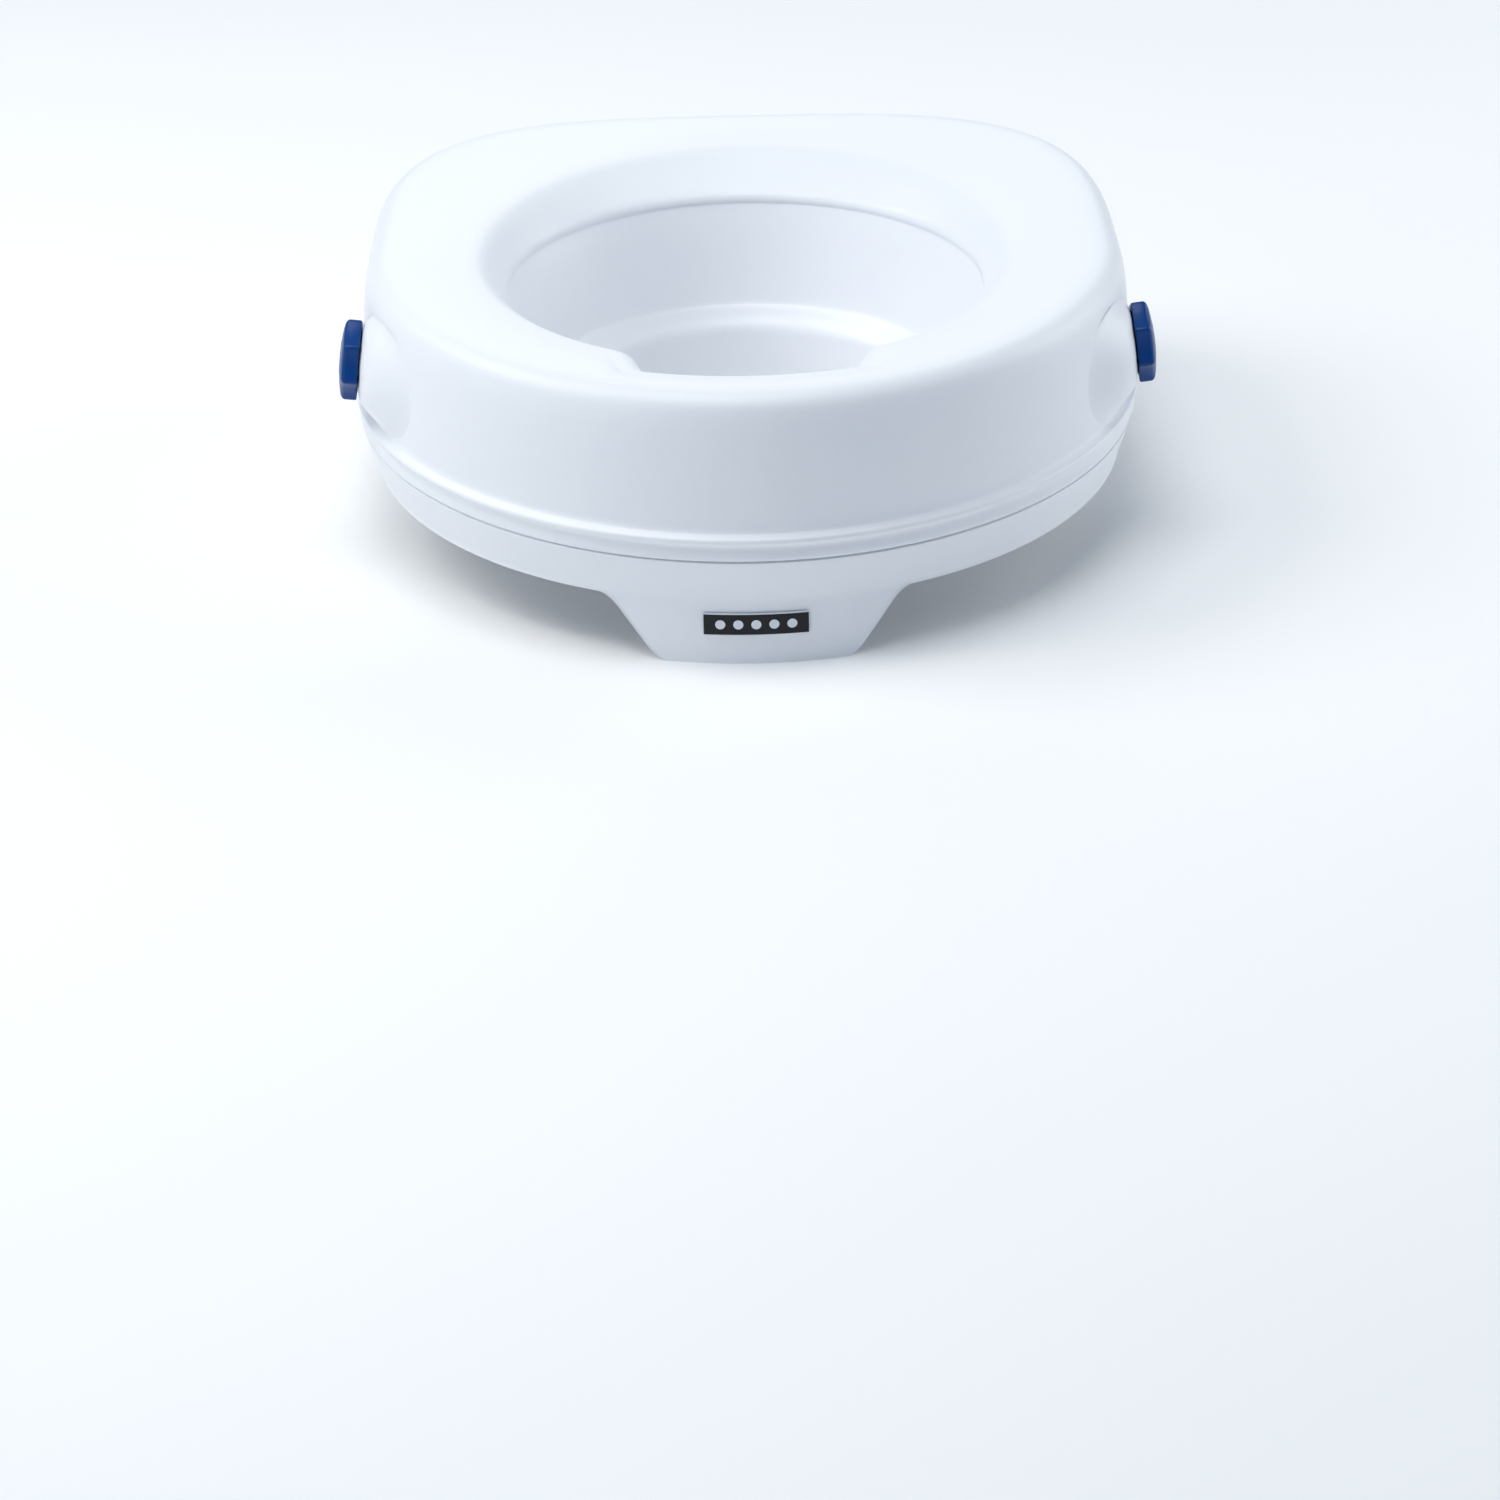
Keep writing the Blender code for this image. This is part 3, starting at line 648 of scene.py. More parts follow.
class Graph:
    """A material's nodes, ending in one Principled shader."""

    def __init__(self, name: str) -> None:
        """Starts a material.

        Args:
            name: The material's name.
        """
        self.material = bpy.data.materials.new(name)
        self.material.use_nodes = True
        self.tree = self.material.node_tree
        self.shader = self.tree.nodes["Principled BSDF"]
        self.place = self.node("ShaderNodeTexCoord", {}, {}, "Object")

    def node(
        self, kind: str, settings: dict[str, object], inputs: dict[str | int, Value],
        output: str | int = 0,
    ) -> Signal:
        """Adds a node.

        Args:
            kind: The node's type.
            settings: Its own properties, which are set first.
            inputs: A value or a signal for each socket that is used.
            output: The socket that is read.

        Returns:
            The output as a signal.
        """
        node = self.tree.nodes.new(kind)
        for name, value in settings.items():
            setattr(node, name, value)
        for name, value in inputs.items():
            self.feed(node.inputs[name], value)
        return Signal(self, node.outputs[output])

    def feed(self, socket: bpy.types.NodeSocket, value: Value) -> None:
        """Links a signal to a socket, or sets the socket's value.

        Args:
            socket: The input socket.
            value: What it is given.
        """
        if isinstance(value, Signal):
            self.tree.links.new(value.socket, socket)
        else:
            socket.default_value = value

    def axis(self, letter: str) -> Signal:
        """One of the object's own coordinates, by its letter."""
        return self.node("ShaderNodeSeparateXYZ", {}, {0: self.place}, letter)

    def maths(self, operation: str, first: Value, second: Value) -> Signal:
        """A Math node on two values."""
        return self.node("ShaderNodeMath", {"operation": operation}, {0: first, 1: second})

    def noise(self, scale: float, detail: float, stretch: Colour = (1, 1, 1)) -> Signal:
        """Noise from 0 to 1 over the object.

        Args:
            scale: Its features in a metre.
            detail: How many finer layers it has.
            stretch: How much faster it runs along each axis.

        Returns:
            The noise as a signal.
        """
        place = self.place
        if stretch != (1, 1, 1):
            place = self.node("ShaderNodeMapping", {}, {"Vector": place, "Scale": stretch})
        inputs = {"Vector": place, "Scale": scale, "Detail": detail}
        return self.node("ShaderNodeTexNoise", {}, inputs, "Fac")

    def between(self, share: Signal, first: Colour, second: Colour) -> Signal:
        """A colour that goes from one to another with a share.

        Args:
            share: 0 for the first colour, 1 for the second.
            first: The first colour.
            second: The second colour.

        Returns:
            The colour as a signal.
        """
        settings = {"data_type": "RGBA"}
        inputs = {0: share, 6: (*first, 1.0), 7: (*second, 1.0)}
        return self.node("ShaderNodeMix", settings, inputs, 2)

    def bump(self, height: Signal, strength: float, distance: float) -> Signal:
        """A surface normal that follows a height.

        Args:
            height: The height, from 0 to 1.
            strength: How strongly it shows.
            distance: The height's full depth in metres.

        Returns:
            The normal as a signal.
        """
        inputs = {"Height": height, "Strength": strength, "Distance": distance}
        return self.node("ShaderNodeBump", {}, inputs, "Normal")

    def dress(self, **values: Value) -> bpy.types.Material:
        """Sets or links the shader's sockets.

        Args:
            values: A value or a signal by socket, named with underscores for spaces.

        Returns:
            The finished material.
        """
        for name, value in values.items():
            self.feed(self.shader.inputs[name.replace("_", " ")], value)
        return self.material


@dataclass(frozen=True)
class MouldedPlastic:
    """Injection-moulded plastic with a fine spark-eroded grain."""

    name: str
    colour: Colour
    drift: Colour
    roughness: float = 0.42
    grain_scale: float = 950.0
    grain_depth: float = 0.00030
    specular: float = 0.45

    def material(self) -> bpy.types.Material:
        """Builds the finish's nodes.

        Returns:
            The finished material.
        """
        graph = Graph(self.name)
        cloud = graph.noise(9.0, 3.0)
        speck = graph.noise(420.0, 2.0)
        grain = graph.noise(self.grain_scale, 2.0)
        tone = graph.between(cloud * 0.7 + speck * 0.3, self.colour, self.drift)
        orange_peel = graph.noise(160.0, 1.0)
        normal = graph.bump(grain * 0.7 + orange_peel * 0.3, 0.35, self.grain_depth)
        roughness = self.roughness - 0.05 + 0.07 * cloud + 0.05 * grain
        return graph.dress(
            Base_Color=tone, Roughness=roughness, Normal=normal,
            Specular_IOR_Level=self.specular,
        )


@dataclass(frozen=True)
class ZincPlate:
    """Bright zinc on turned or stamped steel."""

    name: str
    colour: Colour = (0.60, 0.61, 0.63)
    stain: Colour = (0.47, 0.48, 0.50)

    def material(self) -> bpy.types.Material:
        """Builds the finish's nodes.

        Returns:
            The finished material.
        """
        graph = Graph(self.name)
        streaks = graph.noise(900.0, 3.0, (1.0, 1.0, 0.15))
        stains = graph.noise(70.0, 4.0)
        tone = graph.between(stains, self.colour, self.stain)
        normal = graph.bump(streaks, 0.3, 0.00004)
        roughness = 0.20 + 0.14 * streaks + 0.12 * stains
        return graph.dress(Base_Color=tone, Roughness=roughness, Metallic=1.0, Normal=normal)


@dataclass(frozen=True)
class SoftRubber:
    """Matt rubber, a little dusty."""

    name: str
    colour: Colour = (0.045, 0.046, 0.050)
    dust: Colour = (0.12, 0.12, 0.125)

    def material(self) -> bpy.types.Material:
        """Builds the finish's nodes.

        Returns:
            The finished material.
        """
        graph = Graph(self.name)
        dust = graph.noise(150.0, 5.0)
        pores = graph.noise(2600.0, 2.0)
        normal = graph.bump(pores, 0.5, 0.00008)
        tone = graph.between(dust * dust, self.colour, self.dust)
        return graph.dress(
            Base_Color=tone, Roughness=0.68 + 0.2 * dust, Normal=normal,
            Specular_IOR_Level=0.35,
        )


@dataclass(frozen=True)
class PrintedPlate:
    """A dark plate, printed with a thin pale border and a row of dots."""

    name: str
    field: Colour = (0.004, 0.005, 0.009)
    print_tone: Colour = (0.80, 0.82, 0.86)
    half_width: float = BADGE_HALF_WIDTH
    heights: tuple[float, float] = BADGE_HEIGHTS
    border: float = 0.0006
    pitch: float = 0.0086
    dot: float = 0.0024
    dots_half: float = 0.0215

    def material(self) -> bpy.types.Material:
        """Builds the finish's nodes.

        Returns:
            The finished material.
        """
        graph = Graph(self.name)
        middle, half_height = sum(self.heights) / 2, (self.heights[1] - self.heights[0]) / 2
        x, z = graph.axis("X"), graph.axis("Z") - middle
        across, up = graph.maths("ABSOLUTE", x, 0.0), graph.maths("ABSOLUTE", z, 0.0)
        edge = graph.maths(
            "MAXIMUM",
            graph.maths("GREATER_THAN", across, self.half_width - self.border),
            graph.maths("GREATER_THAN", up, half_height - self.border),
        )
        # The offset keeps the share above zero and puts a dot in the middle.
        place = graph.maths("FRACT", x * (1 / self.pitch) + 10.5, 0.0) - 0.5
        off = place * self.pitch
        distance = graph.maths("SQRT", off * off + z * z, 0.0)
        dots = graph.maths("LESS_THAN", distance, self.dot)
        dots = dots * graph.maths("LESS_THAN", across, self.dots_half)
        wear = graph.noise(1400.0, 4.0)
        share = graph.maths("MAXIMUM", edge, dots) * (0.9 + 0.1 * wear)
        tone = graph.between(share, self.field, self.print_tone)
        normal = graph.bump(graph.noise(500.0, 2.0), 0.2, 0.00003)
        return graph.dress(
            Base_Color=tone, Roughness=0.38 + 0.12 * wear, Normal=normal,
            Specular_IOR_Level=0.3,
        )


@dataclass(frozen=True)
class StudioFloor:
    """A pale painted floor."""

    name: str = "pale_floor"
    colour: Colour = (0.955, 0.955, 0.955)

    def material(self) -> bpy.types.Material:
        """Builds the finish's nodes.

        Returns:
            The finished material.
        """
        graph = Graph(self.name)
        mottle = graph.noise(3.0, 2.0)
        shade = tuple(channel * 0.985 for channel in self.colour)
        return graph.dress(
            Base_Color=graph.between(mottle, self.colour, shade), Roughness=0.8,
            Specular_IOR_Level=0.2,
        )


class Finishes:
    """Every finish of the seat, made once."""

    def __init__(self) -> None:
        """Builds the materials."""
        self.seat = MouldedPlastic(
            "satin_white", (0.875, 0.890, 0.925), (0.850, 0.868, 0.908), roughness=0.40,
        ).material()
        # The funnel's white is a shade darker and bluer than the seat's: painted shade for the
        # inside of the funnel.
        self.guard = MouldedPlastic(
            "funnel_white", (0.870, 0.886, 0.922), (0.846, 0.864, 0.905), roughness=0.38,
        ).material()
        self.knob = MouldedPlastic(
            "knob_blue", (0.0008, 0.050, 0.235), (0.0006, 0.038, 0.185), roughness=0.30,
            grain_scale=1100.0, grain_depth=0.00008, specular=0.25,
        ).material()
        self.nylon = MouldedPlastic(
            "natural_nylon", (0.72, 0.71, 0.66), (0.66, 0.65, 0.60), roughness=0.46,
        ).material()
        self.steel = ZincPlate("bright_zinc").material()
        self.rubber = SoftRubber("grey_rubber").material()
        self.plate = PrintedPlate("printed_plate").material()
        self.floor = StudioFloor().material()


# -------------------------------------------------------------------- fasteners

STEPS_PER_TURN = 6
THREAD_FLANK = 2.2
THREAD_ROOT = 0.1


def threaded(radius: float, depth: float, pitch: float, low: float, high: float) -> list[Station]:
    """Stations along a helical thread, from its lower end up.

    Args:
        radius: The crest's radius.
        depth: The thread's depth.
        pitch: Its rise in a turn.
        low: Its lower end.
        high: Its upper end.

    Returns:
        The stations, several to a turn.
    """
    count = max(2, round(STEPS_PER_TURN * (high - low) / pitch))

    def station_at(height: float) -> Station:
        """A level of the thread, which fades out over a turn at both ends.

        Args:
            height: The level's height.

        Returns:
            The station.
        """
        fade = min(1.0, (height - low) / pitch, (high - height) / pitch)

        def station(direction: float) -> Vector:
            """The thread's surface in one direction.

            Args:
                direction: Angle round the axis.

            Returns:
                Its radius and height.
            """
            turn = (height / pitch - direction / math.tau) % 1.0
            groove = min(1.0, max(0.0, THREAD_FLANK * abs(turn - 0.5) - THREAD_ROOT))
            return Vector((radius - depth * (1 - fade * (1 - groove)), height))

        return station

    return [station_at(low + (high - low) * i / count) for i in range(count + 1)]


@dataclass(frozen=True)
class PanScrew:
    """A thread-forming screw with a pan head and a cross recess.

    Its head's bearing face is at height zero, and its shank points up.
    """

    head_radius: float
    head_height: float
    length: float
    shank_radius: float = 0.00175
    core_share: float = 0.72
    pitch: float = 0.0013
    recess: float = 0.0007

    def model(self, name: str) -> bpy.types.Object:
        """Models the screw at the origin.

        Args:
            name: The piece's name.

        Returns:
            The screw.
        """
        head, height, shank = self.head_radius, self.head_height, self.shank_radius
        core = shank * self.core_share
        stations = round_profile(
            (0, -height), (0.45 * head, -0.99 * height), (0.72 * head, -0.92 * height),
            (0.90 * head, -0.74 * height), (head, -0.42 * height), (head, -0.0003),
            (head - 0.0003, 0), (core, 0),
        )
        stations += threaded(shank, shank - core, self.pitch, 0.0003, self.length - 0.0017)
        stations += round_profile((0.4 * core, self.length - 0.0002), (0, self.length))
        screw = loft(name, even_directions(32), stations)
        reach, low = 0.58 * head, -1.2 * height
        bars = [
            block("recess", (-a, -b, low), (a, b, -0.35 * height))
            for a, b in ((reach, self.recess / 2), (self.recess / 2, reach))
        ]
        for bar in bars:
            apply_modifier(
                screw, "BOOLEAN", operation="DIFFERENCE", solver="EXACT", object=bar,
            )
            bpy.data.objects.remove(bar, do_unlink=True)
        return screw


# -------------------------------------------------------------------- seat body

@dataclass
class SeatBody:
    """The hollow moulded body, with its inside lugs and wall bosses."""

    finishes: Finishes
    wall: float = 0.0030
    lug_directions: tuple[float, ...] = (58.0, 116.0, 158.0)
    lug_insets: tuple[float, float] = (0.0050, 0.0230)
    lug_width: float = 0.0120
    lug_top: float = 0.0250
    lug_crown: float = 0.0060
    screw_inset: float = 0.0165
    pilot_radius: float = 0.00205
    boss_radius: float = 0.0100
    boss_span: tuple[float, float] = BOSS_SPAN
    seat_radius: float = 0.0178
    seat_rise: float = 0.0012
    seat_edge: float = 0.0012
    seat_chamfer: float = 0.0004
    seat_slope: float = 1.0
    seat_slope_ahead: float = 1.9
    seat_sink: float = 0.0006
    wall_base: float = 0.0340
    wall_inset: float = 0.0044
    wall_draft: float = 0.066
    bush_radius: float = BUSH_RADIUS

    def screw_places(self) -> list[tuple[float, float]]:
        """Direction and outline distance of each lug, right and left in turn."""
        pairs = [(side.value * math.radians(d)) for d in self.lug_directions for side in Side]
        return [(direction, PLAN.radius(direction)) for direction in pairs]

    def outside(self) -> list[Station]:
        """The outer face, from the skirt up over the bead and into the opening.

        Returns:
            Its stations in order.
        """
        skirt = [PLAN.ring(0.0066, 0.0080), PLAN.ring(0.0056, 0.0120)]
        seam = [PLAN.ring(0.0052, SEAM_Z - 0.0002), PLAN.ring(0.0024, SEAM_Z)]
        strip = flowing(
            [
                PLAN.ring(0.0017, SEAM_Z + 0.0003), PLAN.ring(0.0013, SEAM_Z + 0.0012),
                PLAN.ring(0.0016, 0.0165), PLAN.ring(0.0019, 0.0193), PLAN.ring(0.0016, 0.0208),
            ], 3,
        )
        bead = flowing(
            [
                PLAN.ring(0.0006, 0.0219), PLAN.ring(0.0, 0.0231), PLAN.ring(0.0004, 0.0244),
                PLAN.ring(0.0019, 0.0254), PLAN.ring(0.0034, 0.0266),
            ], 5,
        )
        side = flowing(
            [
                PLAN.ring(0.0041, 0.0285), PLAN.ring(0.0044, 0.0340), PLAN.ring(0.0053, 0.0520),
                PLAN.ring(0.0069, 0.0720), PLAN.ring(0.0086, 0.0820), PLAN.ring(0.0112, 0.0885),
                PLAN.ring(0.0162, 0.0925), PLAN.ring(0.0240, SEAT_TOP),
            ], 4,
        )
        rim, crest = PLAN.ring(0.0240, SEAT_TOP), APERTURE.ring(0.0912, 0.0140)
        top = flowing(
            [rim, mixed(rim, crest, 0.35, 0.0004), mixed(rim, crest, 0.7, 0.0005), crest], 4,
        )
        lip = flowing(
            [
                crest, APERTURE.ring(0.0893, 0.0055),
                mixed(APERTURE.ring(0.0848, 0.0002), THROAT.ring(0.0848), 0.1),
                mixed(APERTURE.ring(0.0780), THROAT.ring(0.0780), 0.6),
                mixed(APERTURE.ring(0.0733), THROAT.ring(0.0733), 0.93),
                THROAT.ring(0.0708), THROAT.ring(LIP_BOTTOM),
            ], 4,
        )
        return skirt + seam + strip + bead + side + top[1:] + lip[1:]

    def inside(self) -> list[Station]:
        """The inner face, from the opening's lip back down to the skirt.

        Returns:
            Its stations in order.
        """
        wall = self.wall
        lip = [
            THROAT.ring(LIP_BOTTOM, wall), THROAT.ring(0.0735, wall),
            mixed(APERTURE.ring(0.0768, wall), THROAT.ring(0.0768, wall), 0.6),
        ]
        over = [
            APERTURE.ring(0.0832, wall), APERTURE.ring(0.0868, 0.0078),
            APERTURE.ring(0.0882, 0.0150), PLAN.ring(0.0250, SEAT_TOP - wall),
            PLAN.ring(0.0180, 0.0896), PLAN.ring(0.0140, 0.0862), PLAN.ring(0.0114, 0.0812),
        ]
        down = [
            PLAN.ring(0.0084, 0.0520), PLAN.ring(0.0072, 0.0310), PLAN.ring(0.0044, 0.0240),
            PLAN.ring(0.0050, 0.0158), PLAN.ring(0.0086, 0.0142), PLAN.ring(0.0096, 0.0080),
        ]
        return lip + over + down

    def clamp_bores(self) -> list[bpy.types.Object]:
        """Cutters for the holes that the clamps' bushes sit in.

        Returns:
            One for each side.
        """
        low, high = self.boss_span
        bores = []
        for side in Side:
            bore = rod("bore", self.bush_radius + FIT_GAP, low - 0.004, high + 0.006)
            bores.append(set_down(bore, clamp_frame(side)))
        return bores

    def build_shell(self) -> None:
        """The body itself."""
        stations = self.outside() + self.inside()
        shell = loft("moulded_body", body_directions(), stations, ring=True)
        cut_out(shell, self.clamp_bores())
        fit(shell, "seat", Slot.SEAT_WHITE, self.finishes.seat, "seat_shell", smooth=38)

    def build_lugs(self) -> None:
        """The gusseted lugs that take the base plate's screws."""
        half = self.lug_width / 2
        for number, (direction, reach) in enumerate(self.screw_places(), start=1):
            back, front = (inset - reach for inset in self.lug_insets)
            base = PLATE_TOP + FIT_GAP
            lug = block(f"screw_lug_{number}", (-half, back, base), (half, front, self.lug_top))
            take_up(lug)
            bpy.ops.object.mode_set(mode="EDIT")
            push_face(lug, (0, 0, 1), self.lug_crown)
            shape = bmesh.from_edit_mesh(lug.data)
            for point in shape.verts:
                if point.select:
                    point.co.x *= 0.5
                    point.co.y = back + (0.008 if point.co.y > back + 0.001 else 0.0022)
            bmesh.update_edit_mesh(lug.data)
            finish_editing(lug)
            pilot = rod("pilot", self.pilot_radius, base - 0.002, self.lug_top - 0.002, 24)
            set_down(pilot, Matrix.Translation((0, -reach + self.screw_inset, 0)))
            cut_out(lug, [pilot])
            round_edges(lug, 0.0006)
            set_down(lug, Matrix.Rotation(direction, 4, "Z"))
            fit(lug, "seat", Slot.SEAT_WHITE, self.finishes.seat, "seat_shell")

    def wall_height(self, frame: Matrix, direction: float, radius: float) -> float:
        """Height of the outer wall's face in a clamp's frame.

        Args:
            frame: The clamp's frame.
            direction: Angle round the clamp's axis.
            radius: Distance from the axis.

        Returns:
            The height along the axis.
        """
        height = 0.0
        for _ in range(8):
            point = frame @ plan_point(direction, radius, height)
            inset = self.wall_inset + (point.z - self.wall_base) * self.wall_draft
            reach = PLAN.radius(math.atan2(point.x, -point.y), inset)
            height -= math.hypot(point.x, point.y) - reach
        return height

    def flare(self, frame: Matrix, share: float) -> Station:
        """A level of the soft slope between the knob's seat and the wall.

        Args:
            frame: The clamp's frame.
            share: How far down the slope, from 0 at the seat to 1 under the wall.

        Returns:
            The station.
        """
        seat, edge = self.boss_span[1] + self.seat_rise, self.seat_radius
        start = seat - self.seat_chamfer

        def station(direction: float) -> Vector:
            """The slope's place in one direction.

            Args:
                direction: Angle round the clamp's axis.

            Returns:
                Its radius and height.
            """
            rise = max(seat - self.wall_height(frame, direction, edge + 0.004), 0.0)
            ahead = max(math.cos(direction), 0.0) ** 2
            run = self.seat_edge + (self.seat_slope + self.seat_slope_ahead * ahead) * rise
            radius = edge + run * share
            ease = share * share * (3 - 2 * share)
            ground = self.wall_height(frame, direction, radius) - self.seat_sink * share
            return Vector((radius, start + (ground - start) * ease))

        return station

    def build_bosses(self) -> None:
        """The collars round the clamps' bushes, each with a flat seat for its knob."""
        (low, high), bore, rim = self.boss_span, self.bush_radius + FIT_GAP, self.boss_radius
        for side in Side:
            frame = clamp_frame(side)
            stations = round_profile(
                (rim, low + 0.0005), (rim - 0.0005, low), (bore + 0.0004, low),
                (bore, low + 0.0004), (bore, high - 0.0004), (bore + 0.0004, high),
                (0.0098, high), (0.0101, high + self.seat_rise),
                (self.seat_radius - self.seat_edge, high + self.seat_rise),
            )
            stations += [self.flare(frame, i / 9) for i in range(10)]
            stations.append(self.flare_root(frame))
            boss = loft(f"{side.label}_knob_seat", even_directions(96), stations, ring=True)
            set_down(boss, frame)
            fit(boss, "seat", Slot.SEAT_WHITE, self.finishes.seat, "seat_shell")

    def flare_root(self, frame: Matrix) -> Station:
        """The level that closes the slope behind the wall's face.

        Args:
            frame: The clamp's frame.

        Returns:
            The station.
        """
        radius = self.boss_radius + 0.004

        def station(direction: float) -> Vector:
            """The root's place in one direction."""
            return Vector((radius, self.wall_height(frame, direction, radius) - 0.0022))

        return station

    def build(self) -> None:
        """Models every piece of the body."""
        self.build_shell()
        self.build_lugs()
        self.build_bosses()


# ----------------------------------------------------------------- splash guard

@dataclass
class SplashGuard:
    """The funnel that lines the seat and hangs inside the bowl."""

    finishes: Finishes
    wall: float = 0.0025
    lip_width: float = 0.0050
    middle_z: float = 0.045
    ledge_top_z: float = 0.018
    ledge_bottom_z: float = 0.009
    bottom: float = -0.0200
    flange_grow: tuple[float, float] = (0.0064, 0.0125)

    def stations(self) -> list[Station]:
        """The closed section, down the inner face and up the outer one.

        Returns:
            Its stations in order.
        """
        top, wall, tuck = LIP_BOTTOM - 2 * FIT_GAP, self.wall, 0.0004
        end = self.ledge_bottom_z
        funnel = flowing(
            [
                THROAT.ring(LIP_BOTTOM, tuck),
                mixed(THROAT.ring(0.0575), FUNNEL_MIDDLE.ring(0.0575), 0.5),
                FUNNEL_MIDDLE.ring(self.middle_z),
                LEDGE_TOP.ring(self.ledge_top_z + 0.0028, 0.0011),
            ], 7,
        )
        ledge = flowing(
            [
                LEDGE_TOP.ring(self.ledge_top_z + 0.0010, 0.0003),
                LEDGE_TOP.ring(self.ledge_top_z - 0.0004, -0.0012),
                mixed(LEDGE_TOP.ring(self.ledge_top_z), LEDGE_BOTTOM.ring(end), 0.5),
                LEDGE_BOTTOM.ring(end + 0.0008, 0.0010),
                LEDGE_BOTTOM.ring(end - 0.0012, -0.0001),
            ], 4,
        )
        spout = flowing(
            [
                mixed(LEDGE_BOTTOM.ring(0.0055), GUARD_END.ring(0.0055), 0.15),
                mixed(LEDGE_BOTTOM.ring(-0.006), GUARD_END.ring(-0.006), 0.6),
                GUARD_END.ring(self.bottom + 0.0009),
            ], 4,
        )
        inner, outer = self.flange_grow
        low, high = PLATE_TOP + FIT_GAP, PLATE_TOP + wall
        rolled = [
            GUARD_END.ring(self.bottom + 0.0002, 0.0005), GUARD_END.ring(self.bottom, wall / 2),
            GUARD_END.ring(self.bottom + 0.0002, wall - 0.0005),
            GUARD_END.ring(self.bottom + 0.0009, wall),
        ]
        flange = [
            LEDGE_BOTTOM.ring(end - 0.0010, wall),
            LEDGE_BOTTOM.ring(low, inner), LEDGE_BOTTOM.ring(low, outer - 0.0003),
            LEDGE_BOTTOM.ring(low + 0.0004, outer), LEDGE_BOTTOM.ring(high - 0.0004, outer),
            LEDGE_BOTTOM.ring(high, outer - 0.0004), LEDGE_BOTTOM.ring(high, inner + wall),
        ]
        back = [
            LEDGE_TOP.ring(self.ledge_top_z + 0.0010, wall),
            FUNNEL_MIDDLE.ring(self.middle_z, wall),
            THROAT.ring(top - wall, wall), THROAT.ring(top - wall, self.lip_width - 0.0003),
            THROAT.ring(top - wall + 0.0003, self.lip_width),
            THROAT.ring(top - 0.0003, self.lip_width), THROAT.ring(top, self.lip_width - 0.0003),
            THROAT.ring(top, 3 * tuck), THROAT.ring(LIP_BOTTOM + tuck, 3 * tuck),
            THROAT.ring(LIP_BOTTOM + tuck, tuck),
        ]
        return funnel + ledge + spout + rolled + flange + back

    def build(self) -> None:
        """Models the funnel."""
        guard = loft("splash_funnel", body_directions(), self.stations(), ring=True)
        fit(guard, "seat", Slot.SEAT_WHITE, self.finishes.guard, "splash_guard", smooth=38)


# ------------------------------------------------------------------- underside

